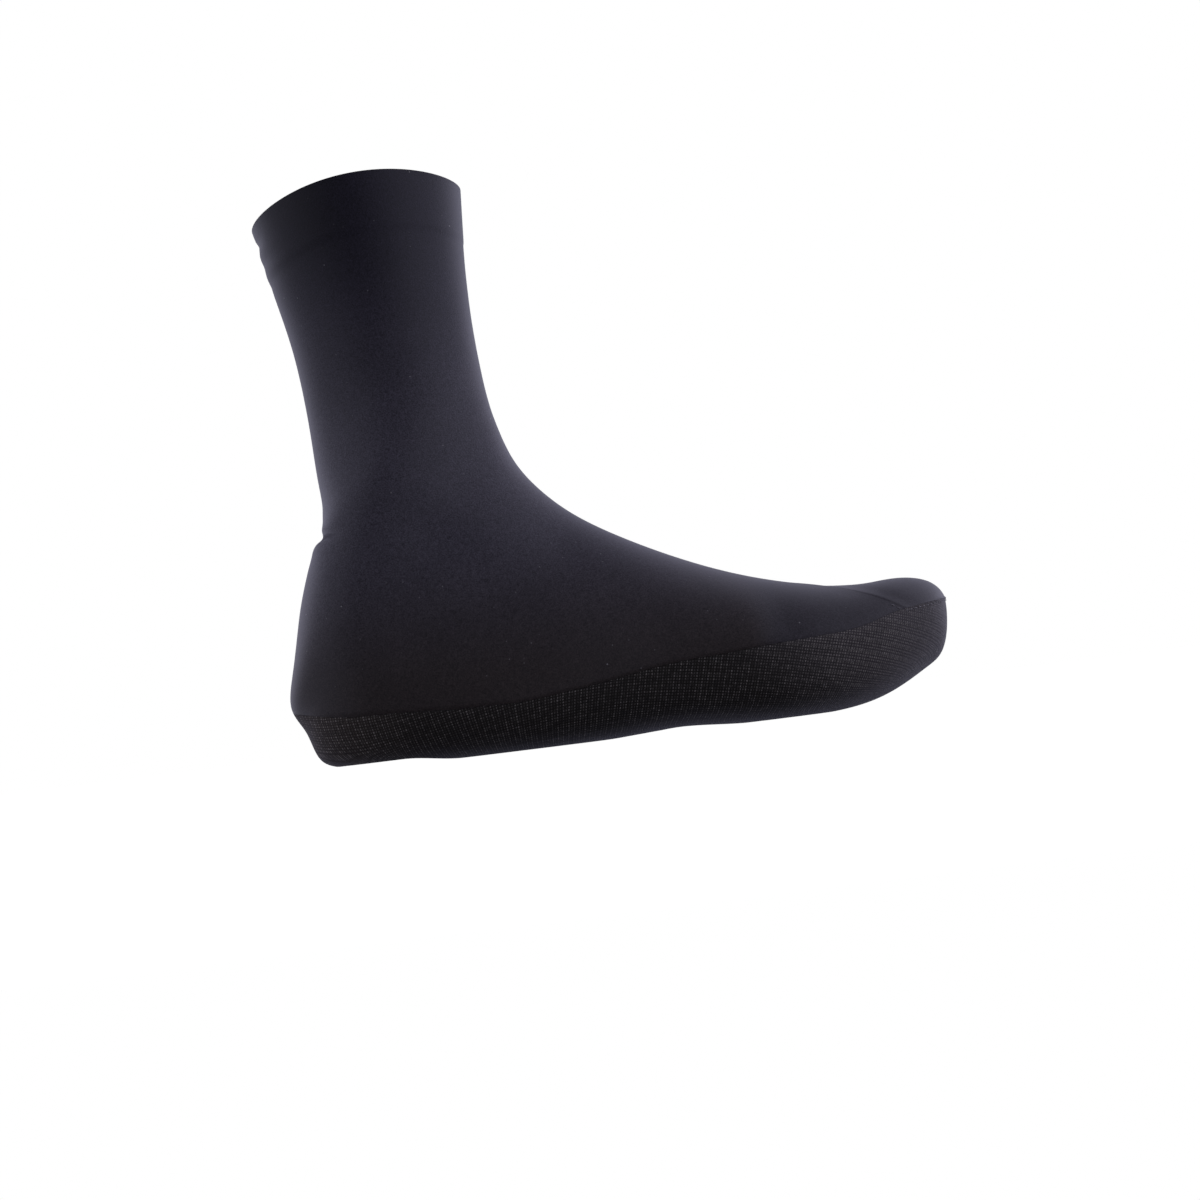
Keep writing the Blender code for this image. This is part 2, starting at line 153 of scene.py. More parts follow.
# Soft folds of the fabric as bowed lines in the side view, in millimetres from the heel and above the floor.
# Side is -1 for the outer side, 1 for the inner side and 0 for both. Depth is outward, so a trough has a
# minus sign. The fades are the shares of the line over which the fold comes in and dies away.
Fold = namedtuple("Fold", "name side along_1 height_1 along_2 height_2 bow width depth fade_in fade_out")
FOLDS = (
    Fold("tendon crease", 0, 14.0, 101.3, 38.0, 98.0, 0.0, 2.2, -2.4, 0.0, 1.0),
    Fold("counter ledge", 0, 10.0, 96.0, 32.0, 94.0, 0.0, 2.8, 0.7, 0.0, 1.0),
    Fold("counter hollow", 0, 2.0, 84.0, 26.0, 86.0, 0.0, 10.0, -0.7, 0.0, 1.0),
    Fold("tendon fold", 0, 14.0, 108.5, 32.0, 111.0, 0.0, 3.6, 0.7, 0.0, 1.0),
    Fold("cuff back flare", 0, 0.0, 243.0, 30.0, 244.0, 0.0, 7.0, 0.45, 0.0, 1.0),
    Fold("cuff back notch", 0, 2.0, 228.6, 15.0, 229.5, 0.0, 2.2, -1.9, 0.0, 1.0),
    Fold("cuff back fold", 0, 2.0, 223.5, 22.0, 225.0, 0.0, 2.0, 0.3, 0.0, 1.0),
    Fold("cuff back hollow", 0, 2.0, 219.8, 24.0, 221.0, 0.0, 2.0, -0.3, 0.0, 1.0),
    Fold("leg back fold", 0, 2.0, 215.5, 22.0, 216.5, 0.0, 2.2, 0.25, 0.0, 1.0),
    Fold("leg back hollow", 0, 2.0, 211.0, 22.0, 212.0, 0.0, 2.4, -0.25, 0.0, 1.0),
    Fold("ball ridge outer", -1, 193.0, 60.0, 197.0, 26.0, 1.0, 9.0, 0.9, 0.5, 0.3),
    Fold("ball trough outer", -1, 207.0, 58.0, 210.0, 28.0, 1.0, 8.0, -0.6, 0.5, 0.3),
    Fold("ball ridge inner", 1, 188.0, 62.0, 190.0, 30.0, 1.0, 9.0, 0.6, 0.5, 0.3),
    Fold("ball trough inner", 1, 202.0, 60.0, 204.0, 30.0, 1.0, 8.0, -0.5, 0.5, 0.3),
    Fold("instep hollow outer", -1, 106.0, 104.0, 132.0, 62.0, 3.0, 10.0, -0.5, 0.4, 0.5),
    Fold("instep pull outer", -1, 60.0, 118.0, 104.0, 74.0, 4.0, 8.0, 0.45, 0.4, 0.5),
    Fold("ankle hollow outer", -1, 42.0, 112.0, 84.0, 66.0, 5.0, 9.0, -0.4, 0.4, 0.5),
    Fold("ankle hollow inner", 1, 42.0, 114.0, 88.0, 68.0, 5.0, 10.0, -0.5, 0.4, 0.5),
    Fold("instep pull inner", 1, 64.0, 118.0, 108.0, 76.0, 4.0, 8.0, 0.4, 0.4, 0.5),
    Fold("sole tuck outer", -1, 118.0, 14.0, 150.0, 4.0, 0.0, 5.0, -0.5, 0.4, 0.4),
    Fold("sole pucker outer", -1, 66.0, 3.0, 84.0, 16.0, 0.0, 4.0, -0.4, 0.4, 0.4),
    Fold("sole pucker front", -1, 206.0, 20.0, 226.0, 6.0, 0.0, 5.0, -0.35, 0.4, 0.4),
    Fold("sole tuck inner", 1, 110.0, 14.0, 146.0, 4.0, 0.0, 5.0, -0.5, 0.4, 0.4),
)

# Least fade of a fold, and how fast a fold of one side fades across the foot's middle
FADE_MIN = 1e-6
SIDE_BLEND = 0.006

# Where the knit's colour changes: heights in metres, and the place along the foot where it turns to the toe
# colour, slanted with height. The changes are partly the knit's own colour and partly painted light and
# shade: darker high up, warmer low down, and a tone edge where the forefoot turns towards the light at the
# toe
LOW_KNIT_RANGE = (0.026, 0.095)
HIGH_KNIT_RANGE = (0.125, 0.235)
TOE_TONE_RANGE = (0.0565, 0.0705)
TOE_TONE_SLANT = 0.10

# Where a painted shade darkens the knit at the back of the collar, along the foot and upward
COLLAR_SHADE_ALONG_RANGE = (-0.080, -0.112)
COLLAR_SHADE_HEIGHT_RANGE = (0.190, 0.235)

# Where the sole seam's dip comes in from the heel, and where it turns into a ridge round the toes
SEAM_HEEL_RANGE = (0.004, 0.032)
SEAM_TOE_RANGE = (0.236, 0.280)

# Where the sole cloth is paler, along the foot, at the toe and the heel, as a painted sheen, and where its
# dots fade to the toe tip. The toe's zone is slanted with height.
SOLE_TOE_RANGE = (0.059, 0.134)
SOLE_TOE_SLANT = 1.0
SOLE_HEEL_RANGE = (-0.080, -0.135)
SOLE_TIP_RANGE = (0.088, 0.136)

# Grain of the sole cloth, in degrees at even steps from the heel to the toe tip: how far its columns lean to
# the toe on their way up, and how far its rows fall to the toe. The lean is measured at a middle height on
# the sides, and it fades out under the foot. The rows lie closer at the heel and the columns at the toe, by
# shares.
COLUMN_LEANS = (2.0, -2.5, -13.0, -7.5, 6.0, 13.0, 14.6, 19.0, 21.5, 23.5, 26.0)
ROW_FALLS = (8.0, 0.0, -9.0, -9.5, -5.0, 2.7, 8.0, 12.0, 14.5, 15.5, 17.0)
LEAN_MIDDLE = 0.012
LEAN_FADE = 0.030
ROW_CROWD = 0.16
COLUMN_CROWD = 0.08
FALL_STEPS = 400

# Rounded ends of the sole's outline, as half ellipses
RoundEnd = namedtuple("RoundEnd", "centre middle length half_width")
HEEL_END = RoundEnd(0.052, 0.000, 0.046, 0.036)
TOE_END = RoundEnd(0.225, 0.009, 0.060, 0.052)

# Rows, columns and steps of the grids and paths
UPPER_COLUMNS = 160
UPPER_FOOT_ROWS = 122
UPPER_SHAFT_ROWS = 150
TOE_ROWS = 64
TOE_COLUMNS = 128
SOLE_ROWS = 240
SOLE_COLUMNS = 120
CUFF_ROWS = 24
CUFF_COLUMNS = 160
CUFF_SEARCH_STEPS = 100
SEAM_PATH_STEPS = 600
STITCH_RINGS = 4
STITCH_SIDES = 6

# Edges that turn by more than this are sharp
SHARP_ANGLE = np.radians(50.0)

# Share of the toe seam that its stitches reach from each end, and how far the stitches round the toes stand
# out, in thread diameters
TOE_STITCH_REACH = 0.08
STITCH_RISE = 0.2

# Grain, mottling and lint of every fabric: features for each metre, noise detail, the fine grain's share,
# and the radii over which a speck of lint fades
FINE_GRAIN = 1800.0
COARSE_GRAIN = 520.0
MOTTLE = 34.0
LINT = 300.0
GRAIN_DETAIL = 2.0
MOTTLE_DETAIL = 3.0
FINE_SHARE = 0.8
LINT_RADII = (0.13, 0.05)
LINT_POWER = 3.0

# Shades over the grain and over the mottling, as the slope and the start of a straight line, and the share
# of a plain yarn's colour in its dark grain
KNIT_GRAIN_SHADE = (2.9, -0.45)
KNIT_MOTTLE_SHADE = (0.5, 0.75)
SOLE_GRAIN_SHADE = (2.8, -0.4)
SOLE_MOTTLE_SHADE = (0.8, 0.6)
DARK_YARN = 0.6

# Spread of the roughness over the grain, its drop at the sole's toe tip, the strength and depth of each
# relief, and the shares of weave and grain in the sole's relief
KNIT_ROUGHNESS_SPREAD = 0.16
SOLE_ROUGHNESS_SPREAD = 0.2
TIP_ROUGHNESS_DROP = 0.17
KNIT_RELIEF = (0.35, 0.0002)
SOLE_RELIEF = (0.5, 0.0003)
YARN_RELIEF = (0.3, 0.0002)
WEAVE_RELIEF_SHARE = 0.8
GRAIN_RELIEF_SHARE = 0.4

# Reflection of the sole's rough threads, against 0.5 for smooth fabric, and roughness of the sheen
SOLE_SPECULAR = 0.25
SHEEN_ROUGHNESS = 0.45

# Dotted weave: bands from edge to full strength, in column, row and line pitches from their middles. A
# thread line comes once in a few rows, with a painted shade in a groove beside it. The faint columns' share
# and the least dot are straight lines over the row share, as slope and start.
STRONG_COLUMN = (0.17, 0.05)
FAINT_COLUMN = (0.15, 0.03)
FAINT_COLUMN_SHARE = (4.0, 0.35)
DOT_HEIGHT = (0.40, 0.14)
DOT_POWER = 2.0
LEAST_DOT = (2.0, 0.14)
ROW_LEVEL = 0.7
LINE_EVERY = 4.0
THREAD_LINE = (0.055, 0.015)
GROOVE_SHADE = (0.06, 0.015)
GROOVE_SHADE_PLACE = 0.11

# Values of the weave in the sole's middle, and what its toe, heel and toe tip add
Zoned = namedtuple("Zoned", "middle toe heel tip")
ROW_SHARE = Zoned(0.03, 0.12, 0.0, 0.0)
LINE_STRENGTH = Zoned(0.08, 0.34, 0.0, 0.0)
# The dots' added strength at the toe and the heel is partly painted sheen
DOT_STRENGTH = Zoned(0.78, 0.17, 0.40, -0.52)
# Strength of the painted shade in the groove beside each thread line
GROOVE_SHADE_STRENGTH = Zoned(0.0, 0.6, 0.0, -0.45)

# Soft light by direction: ranges of the direction's Y, X or Z over which each light comes in. The light
# behind the shoe loses a share high up, and a share of all the light is left below the horizon.
BACK_LIGHT_RANGE = (0.0, 0.75)
HIGH_BACK_RANGE = (0.2, 0.85)
HIGH_BACK_LOSS = 0.6
TOE_LIGHT_RANGE = (0.0, 0.9)
HEEL_LIGHT_RANGE = (-0.1, -1.0)
TOP_LIGHT_RANGE = (0.3, 0.95)
HORIZON_RANGE = (-0.5, 0.05)
BELOW_HORIZON = 0.28

# Camera: place, height of its aim, roll, lens and sensor
CAMERA_PLACE = (-0.0058, -0.900, 0.00908)
CAMERA_AIM_HEIGHT = 0.05978
CAMERA_ROLL = np.radians(7.1)
CAMERA_LENS = 62.93
SENSOR_WIDTH = 36.0

# Floor: half its side, how far it lies under the shoe, and the share of its colour that isn't its own glow
FLOOR_HALF_SIZE = 12.0
FLOOR_DROP = 0.0002
FLOOR_GREY = 0.05


def spline_bends(values):
    """Second differences of the natural cubic spline through evenly spaced values."""
    count = len(values)
    matrix = 4.0 * np.eye(count) + np.eye(count, k=1) + np.eye(count, k=-1)
    matrix[[0, -1]] = np.eye(count)[[0, -1]]
    right = np.zeros_like(values)
    right[1:-1] = 6.0 * (values[2:] - 2.0 * values[1:-1] + values[:-2])
    return np.linalg.solve(matrix, right)


def spline(values, bends, place):
    """Value of the spline at each place, where place 0 is the first value and each step is one value on."""
    row = np.clip(np.floor(place).astype(int), 0, len(values) - 2)
    after = place - row
    before = 1.0 - after
    curve = before * values[row] + after * values[row + 1]
    return curve - after * before / 6.0 * ((1.0 + before) * bends[row] + (1.0 + after) * bends[row + 1])


def section_columns():
    """Columns of the section table in metres, with mirrored rows past the toe tip, and their bends."""
    units = dict.fromkeys(Section._fields[1:], 1.0)
    units.update(crest_along=LENGTH * PERCENT, tread_along=LENGTH * PERCENT)
    units.update(crest_height=INSTEP_HEIGHT * PERCENT, tread_height=HEEL_HEIGHT * PERCENT)
    units.update(dict.fromkeys(WIDTH_FIELDS, BALL_WIDTH * PERCENT))
    units.update(widest=PERCENT)
    columns = {}
    for field, unit in units.items():
        values = np.array([getattr(section, field) for section in SECTIONS]) * unit
        sign = -1.0 if field in ("outer", "inner") else 1.0
        values = np.concatenate((sign * values[MIRRORED_ROWS:0:-1], values))
        columns[field] = (values, spline_bends(values))
    return columns


COLUMNS = section_columns()
SEAM_VALUES = np.array(SOLE_SEAM_HEIGHTS) * HEEL_HEIGHT * PERCENT
SEAM_BENDS = spline_bends(SEAM_VALUES)


def column(field, row):
    """One column of the section table, read smoothly at any row."""
    values, bends = COLUMNS[field]
    return spline(values, bends, row + MIRRORED_ROWS)


def tread_floor(x):
    """Height of the flat underside along the foot: the spring of the heel, eased down to the floor."""
    first, last = HEEL_SPRING_PLACES
    return HEEL_SPRING * ease((last - LENGTH / 2.0 - x) / (last - first))


def last_point(row, angle):
    """Point of the last at a row and an angle round its section.

    The section is two half superellipses that meet at its widest place: with c and s the cosine and sine of
    the angle, the reach is (|c|^power + |s|^power)^(-1/power). Negative angles are the outer side.
    """
    row, angle = np.broadcast_arrays(row, angle)
    upper = np.cos(angle) > 0.0
    power = np.where(upper, column("crest_power", row), column("tread_power", row))
    reach = (np.abs(np.cos(angle)) ** power + np.abs(np.sin(angle)) ** power) ** (-1.0 / power)
    widest = column("widest", row)
    share = widest + np.where(upper, 1.0 - widest, widest) * np.cos(angle) * reach
    half = np.where(angle < 0.0, column("outer", row), column("inner", row))
    crest_x, tread_x = column("crest_along", row), column("tread_along", row)
    crest_z, tread_z = column("crest_height", row), column("tread_height", row)
    nip = ((1.0 - np.cos(angle)) / 2.0) ** NIP_FALL
    x = tread_x + (crest_x - tread_x) * share + column("nip_along", row) * nip - LENGTH / 2.0
    y = column("sway", row) + half * np.sin(angle) * reach
    z = tread_z + (crest_z - tread_z) * share + column("nip_height", row) * nip
    z = z + column("arch", row) * np.sin(angle) ** 2
    return np.stack((x, y, np.maximum(z, tread_floor(x))), axis=-1)


def outward(row, angle):
    """Unit normal of the last, away from the foot, from small differences along its two directions."""
    row, angle = np.broadcast_arrays(np.maximum(row, NORMAL_ROW_MIN), angle)
    along = last_point(row + DIFFERENCE, angle) - last_point(row - DIFFERENCE, angle)
    around = last_point(row, angle + DIFFERENCE) - last_point(row, angle - DIFFERENCE)
    return to_unit(np.cross(around, along))


def to_unit(vectors):
    """Vectors of length one."""
    return vectors / np.linalg.norm(vectors, axis=-1, keepdims=True)


def seam_height(x):
    """Height of the sole seam above the floor at a place along the foot."""
    steps = len(SEAM_VALUES) - 1
    return spline(SEAM_VALUES, SEAM_BENDS, np.clip(x / LENGTH + 0.5, 0.0, 1.0) * steps)


def above_seam(row, angle):
    """How far a point of the last lies above the sole seam."""
    point = last_point(row, angle)
    return point[..., 2] - seam_height(point[..., 0])


def seam_angle(row, side, offset):
    """Angle at which each section crosses the sole seam, moved up by an offset, on one side (-1 or 1)."""
    low = np.zeros_like(row)
    high = np.full_like(row, np.pi)
    for _ in range(SEARCH_STEPS):
        middle = (low + high) / 2.0
        over = above_seam(row, side * middle) > offset
        low = np.where(over, middle, low)
        high = np.where(over, high, middle)
    return side * high


def heel_row(offset):
    """Row whose tread end lies on the sole seam at the back of the heel, moved up by an offset."""
    low, high = HEEL_SEARCH
    for _ in range(SEARCH_STEPS):
        middle = (low + high) / 2.0
        over = above_seam(np.array(middle), np.array(np.pi)) > offset
        low, high = (low, middle) if over else (middle, high)
    return high


def toe_seam_row(across):
    """Row of the toe seam at each share of the way across, from the outer to the inner sole seam."""
    sideways = np.abs(2.0 * across - 1.0) ** TOE_SEAM_BEND
    return TOE_SEAM_APEX + (TOE_SEAM_SIDE - TOE_SEAM_APEX) * sideways


def across_angles(row, across, offset):
    """Angles that run from the outer to the inner sole seam over the crest."""
    outer = seam_angle(row, -1.0, offset)
    return outer + across * (seam_angle(row, 1.0, offset) - outer)


def bell(gap, width):
    """Bell curve exp(-(gap / width)^2)."""
    return np.exp(-((gap / width) ** 2))


def ease(place):
    """Smooth step from 0 to 1, 3 p^2 - 2 p^3, held outside that range."""
    place = np.clip(place, 0.0, 1.0)
    return place * place * (3.0 - 2.0 * place)


def ease_between(value, low, high):
    """Smooth step of a value from 0 at low to 1 at high."""
    return ease((value - low) / (high - low))


def fold_relief(point):
    """How far the folds lift the fabric at each point.

    Each fold is a bell across a bowed line in the side view, depth * exp(-(gap / width)^2), times a smooth
    step at each end of the line, over its fades.
    """
    along = point[..., 0] + LENGTH / 2.0
    height = point[..., 2]
    lift = np.zeros_like(along)
    for fold in FOLDS:
        run_x = (fold.along_2 - fold.along_1) * MM
        run_z = (fold.height_2 - fold.height_1) * MM
        reach = np.hypot(run_x, run_z)
        from_x = along - fold.along_1 * MM
        from_z = height - fold.height_1 * MM
        place = (from_x * run_x + from_z * run_z) / reach**2
        gap = (from_z * run_x - from_x * run_z) / reach - 4.0 * fold.bow * MM * place * (1.0 - place)
        share = ease(place / max(fold.fade_in, FADE_MIN))
        share = share * ease((1.0 - place) / max(fold.fade_out, FADE_MIN))
        if fold.side != 0:
            share = share * (0.5 + 0.5 * np.tanh(fold.side * point[..., 1] / SIDE_BLEND))
        lift += share * fold.depth * MM * bell(gap, fold.width * MM)
    return lift


def dressed_skins(row, angle, lift, wall):
    """Outer and inner skins of a piece: the last, moved along its normal by the folds and its own lift."""
    point = last_point(row, angle)
    normal = outward(row, angle)
    outer = point + (fold_relief(point) + lift)[..., None] * normal
    return outer, outer - wall * normal


def wall_mesh(name, skins, labels, cloth):
    """Closed mesh between an outer and an inner skin on one grid, with a rim along every free edge.

    Grid points with the same label are one point, which closes seams and poles. A free edge is one that no
    neighbouring face runs along in the other direction. The cloth map gives each grid point its place on the
    flat cloth.
    """
    kept, numbers = np.unique(labels, return_inverse=True)
    numbers = numbers.reshape(labels.shape)
    count = len(kept)

    def corners(grid):
        """Values at the four corners of each grid cell."""
        cells = np.stack((grid[:-1, :-1], grid[:-1, 1:], grid[1:, 1:], grid[1:, :-1]), axis=2)
        return cells.reshape(-1, 4, *grid.shape[2:])

    quads, maps = corners(numbers), corners(cloth)
    tails, heads = quads.reshape(-1), np.roll(quads, -1, axis=1).reshape(-1)
    free = (tails != heads) & ~np.isin(tails * count + heads, heads * count + tails)
    rims = np.stack((heads, tails, tails + count, heads + count), axis=-1)[free]
    tail_maps, head_maps = maps.reshape(-1, 2), np.roll(maps, -1, axis=1).reshape(-1, 2)
    rim_maps = np.stack((head_maps, tail_maps, tail_maps, head_maps), axis=1)[free]
    pole = quads[:, 2] == quads[:, 3]
    groups = (
        (quads[~pole], maps[~pole]),
        (quads[~pole][:, ::-1] + count, maps[~pole][:, ::-1]),
        (rims, rim_maps),
        (quads[pole][:, :3], maps[pole][:, :3]),
        (quads[pole][:, 2::-1] + count, maps[pole][:, 2::-1]),
    )
    points = np.concatenate([skin.reshape(-1, 3)[kept] for skin in skins])
    faces = [face for group, _ in groups for face in group.tolist()]
    mesh = bpy.data.meshes.new(name)
    mesh.from_pydata(points.tolist(), [], faces)
    layer = mesh.uv_layers.new(name="cloth")
    layer.uv.foreach_set("vector", np.concatenate([flat.reshape(-1, 2) for _, flat in groups]).ravel())
    mesh.shade_smooth()
    mesh.set_sharp_from_angle(angle=SHARP_ANGLE)
    return mesh


def add_piece(mesh, material, nodes):
    """Put a mesh into the scene as one piece that rides on the shoe and stands for its solids."""
    mesh.materials.clear()
    mesh.materials.append(material)
    piece = bpy.data.objects.new(mesh.name, mesh)
    bpy.context.collection.objects.link(piece)
    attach(piece, "root")
    if nodes:
        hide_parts(*nodes)


def grid_labels(rows, columns):
    """A number of its own for every point of a grid."""
    return np.arange(rows * columns).reshape(rows, columns)


def cloth_map(skin, middle):
    """Flat place of each grid point: arc length across from the middle column, and mean arc length along."""
    across = np.linalg.norm(np.diff(skin, axis=1), axis=-1)
    across = np.concatenate((np.zeros((len(skin), 1)), np.cumsum(across, axis=1)), axis=1)
    along = np.linalg.norm(np.diff(skin, axis=0), axis=-1).mean(axis=1)
    along = np.concatenate(((0.0,), np.cumsum(along)))[:, None]
    across = across - across[:, middle : middle + 1]
    return np.stack((across, along + 0.0 * across), axis=-1)


def seam_sink(row, angle, sizes):
    """Dip of the fabric towards the sole seam, a bell of the height over the seam.

    The dip fades out at the heel, and it turns into a low ridge round the toes.
    """
    along = last_point(row, angle)[..., 0] + LENGTH / 2.0
    heel = ease_between(along, *SEAM_HEEL_RANGE)
    toe = ease_between(along, *SEAM_TOE_RANGE)
    depth = sizes.seam_sink * heel * (1.0 - toe) - sizes.seam_ridge * toe
    return -depth * bell(above_seam(row, angle), sizes.seam_width)


def upper_grid(sizes):
    """Rows, angles and lift of the upper, from the toe seam to the collar.

    Below the row that closes at the back of the heel, each grid row runs from seam to seam over the crest,
    and its columns spread more and more with the seam's own angle. Above it, each runs the whole way round
    the leg.
    """
    offset = SEAM_GAP / 2.0
    across = np.linspace(0.0, 1.0, UPPER_COLUMNS + 1)[None, :]
    closing = heel_row(offset)
    even = np.linspace(0.0, 1.0, UPPER_FOOT_ROWS + 1)[:, None]
    foot = even + (np.sin(even * np.pi / 2.0) - even) * np.abs(2.0 * across - 1.0)
    start = toe_seam_row(across) + TOE_SEAM_HALF_GAP
    foot_rows = start + (closing - start) * foot
    shaft = np.linspace(0.0, 1.0, UPPER_SHAFT_ROWS + 1)[1:, None]
    shaft_rows = closing + (LAST_ROW - closing) * shaft + 0.0 * across
    row = np.concatenate((foot_rows, shaft_rows))
    angle = np.pi * (2.0 * across - 1.0) + 0.0 * row
    own = across_angles(foot_rows, across, offset)
    edge = across_angles(foot_rows[:, :1], across, offset)
    angle[:UPPER_FOOT_ROWS] = (own + (edge - own) * even)[:UPPER_FOOT_ROWS]
    to_toe = (row - start) * TOE_SEAM_ROW_PITCH
    lip = sizes.toe_lip * bell(to_toe, sizes.toe_lip_width)
    return row, angle, seam_sink(row, angle, sizes) + lip + cuff_step(row, angle, sizes)


def cuff_step(row, angle, sizes):
    """Faint swelling of the fabric over the band inside the collar, eased over the band's lower edge."""
    below_rim = last_point(np.full_like(row, LAST_ROW), angle)[..., 2] - last_point(row, angle)[..., 2]
    return sizes.cuff_step * ease((sizes.cuff_depth - below_rim) / sizes.cuff_step_run + 0.5)


def toe_grid(sizes):
    """Rows, angles and lift of the toe panel, from the toe tip to the toe seam.

    A hollow runs along the seam, and past the seam the panel's edge is turned under the upper.
    """
    across = np.linspace(0.0, 1.0, TOE_COLUMNS + 1)[None, :]
    end = toe_seam_row(across) - TOE_SEAM_HALF_GAP
    row = end * np.linspace(0.0, 1.0, TOE_ROWS + 1)[:, None]
    under = np.linspace(0.0, 1.0, TOE_LAP_ROWS + 1)[1:, None]
    row = np.concatenate((row, end + TOE_LAP * under))
    angle = across_angles(row, across, SEAM_GAP / 2.0)
    to_seam = np.maximum(end - row, 0.0) * TOE_SEAM_ROW_PITCH
    tuck = np.concatenate((np.zeros(TOE_ROWS + 1), np.ones(TOE_LAP_ROWS)))[:, None]
    tuck = -(sizes.upper_wall + SEAM_GAP) * tuck
    hollow = -sizes.toe_hollow * bell(to_seam - sizes.toe_hollow_place, sizes.toe_hollow_width)
    sink = -sizes.seam_sink * bell(to_seam, sizes.seam_width)
    return row, angle, seam_sink(row, angle, sizes) + hollow + sink + tuck


def sole_grid(sizes):
    """Rows, angles and lift of the sole cloth, from seam to seam under the foot."""
    offset = -SEAM_GAP / 2.0
    across = np.linspace(0.0, 1.0, SOLE_COLUMNS + 1)[None, :]
    closing = heel_row(offset)
    row = closing * np.sin(np.linspace(0.0, np.pi / 2.0, SOLE_ROWS + 1))[:, None] + 0.0 * across
    inner = seam_angle(row, 1.0, offset)
    outer = seam_angle(row, -1.0, offset)
    angle = inner + across * (2.0 * np.pi + outer - inner)
    angle = np.where(angle > np.pi, angle - 2.0 * np.pi, angle)
    return row, angle, seam_sink(row, angle, sizes)


def cuff_grid(sizes):
    """Rows, angles and lift of the band inside the collar, measured down from the rim at the back."""
    across = np.linspace(0.0, 1.0, CUFF_COLUMNS + 1)[None, :]
    shaft = LAST_ROW - 1.0 + np.linspace(0.0, 1.0, CUFF_SEARCH_STEPS + 1)
    back_height = last_point(shaft, np.full_like(shaft, np.pi))[:, 2]
    low = np.interp(back_height[-1] - sizes.cuff_depth, back_height, shaft)
    high = np.interp(back_height[-1] - sizes.cuff_setback, back_height, shaft)
    row = np.linspace(low, high, CUFF_ROWS + 1)[:, None] + 0.0 * across
    angle = np.pi * (2.0 * across - 1.0) + 0.0 * row
    return row, angle, np.full_like(row, -sizes.upper_wall - SEAM_GAP)


def toe_seam_path(sizes):
    """Rows, angles and lift of the stitches beside the toe seam."""
    across = np.linspace(0.0, 1.0, SEAM_PATH_STEPS + 1)
    row = toe_seam_row(across) + sizes.stitch_offset / TOE_SEAM_ROW_PITCH
    angle = across_angles(row, across, SEAM_GAP / 2.0)
    lip = sizes.toe_lip * bell(sizes.stitch_offset, sizes.toe_lip_width)
    return row, angle, lip + seam_sink(row, angle, sizes)


def toe_edge_path(sizes):
    """Rows, angles and lift of the stitches under the sole seam, round the toes."""
    reach = np.linspace(-1.0, 1.0, SEAM_PATH_STEPS + 1)
    row = np.abs(reach) * TOE_SEAM_SIDE
    angle = seam_angle(row, np.where(reach < 0.0, -1.0, 1.0), -sizes.stitch_offset / 2.0)
    return row, angle, seam_sink(row, angle, sizes) + sizes.thread * STITCH_RISE


def round_end(past, sideways, end):
    """Arc length round one end of the sole's outline, at a place past the end's centre.

    With p the angle of the place round an ellipse of half axes a and b, the arc is close to
    (a + b) p / 2 + (a - b) sin(2 p) / 4.
    """
    turn = np.arctan2(np.maximum(past, 0.0) / end.length, np.abs(sideways - end.middle) / end.half_width)
    even = (end.length + end.half_width) / 2.0 * turn
    return even + (end.length - end.half_width) / 4.0 * np.sin(2.0 * turn)


def grain(degrees, run):
    """Slope of the sole cloth's grain at a run along the foot, from a row of angles at even steps."""
    values = np.radians(degrees)
    place = np.clip(run / LENGTH, 0.0, 1.0) * (len(values) - 1)
    return np.tan(spline(values, spline_bends(values), place))


def sole_cloth_map(skin):
    """Flat place of each point of the sole cloth: the run round the sole's outline and the height on it.

    The height falls from the nearer seam by the length of the way down, without the part of that way that
    goes along the outline. The columns are slanted by their lean, and the rows drop by the integral of their
    fall.
    """
    along, sideways = skin[..., 0] + LENGTH / 2.0, skin[..., 1]
    around = np.clip(along, HEEL_END.centre, TOE_END.centre)
    around = around - round_end(HEEL_END.centre - along, sideways, HEEL_END)
    around = around + round_end(along - TOE_END.centre, sideways, TOE_END)
    step = np.sum(np.diff(skin, axis=1) ** 2, axis=-1) - np.diff(around, axis=1) ** 2
    way = np.cumsum(np.sqrt(np.maximum(step, 0.0)), axis=1)
    way = np.concatenate((np.zeros((len(skin), 1)), way), axis=1)
    height = np.maximum(skin[:, :1, 2] - way, skin[:, -1:, 2] - way[:, -1:] + way)
    side = ease(height / LEAN_FADE + 1.0)
    run = along + side * (around - along)
    place = np.linspace(run.min(), run.max(), FALL_STEPS)
    drop = np.interp(run, place, np.cumsum(grain(ROW_FALLS, place)) * (place[1] - place[0]))
    crowd = 1.0 + ROW_CROWD * (1.0 - along / LENGTH)
    lean = side * grain(COLUMN_LEANS, run) * (height - LEAN_MIDDLE)
    flat = run * (1.0 + COLUMN_CROWD * run / LENGTH) - lean
    return np.stack((flat, (height + side * drop) * crowd), axis=-1)


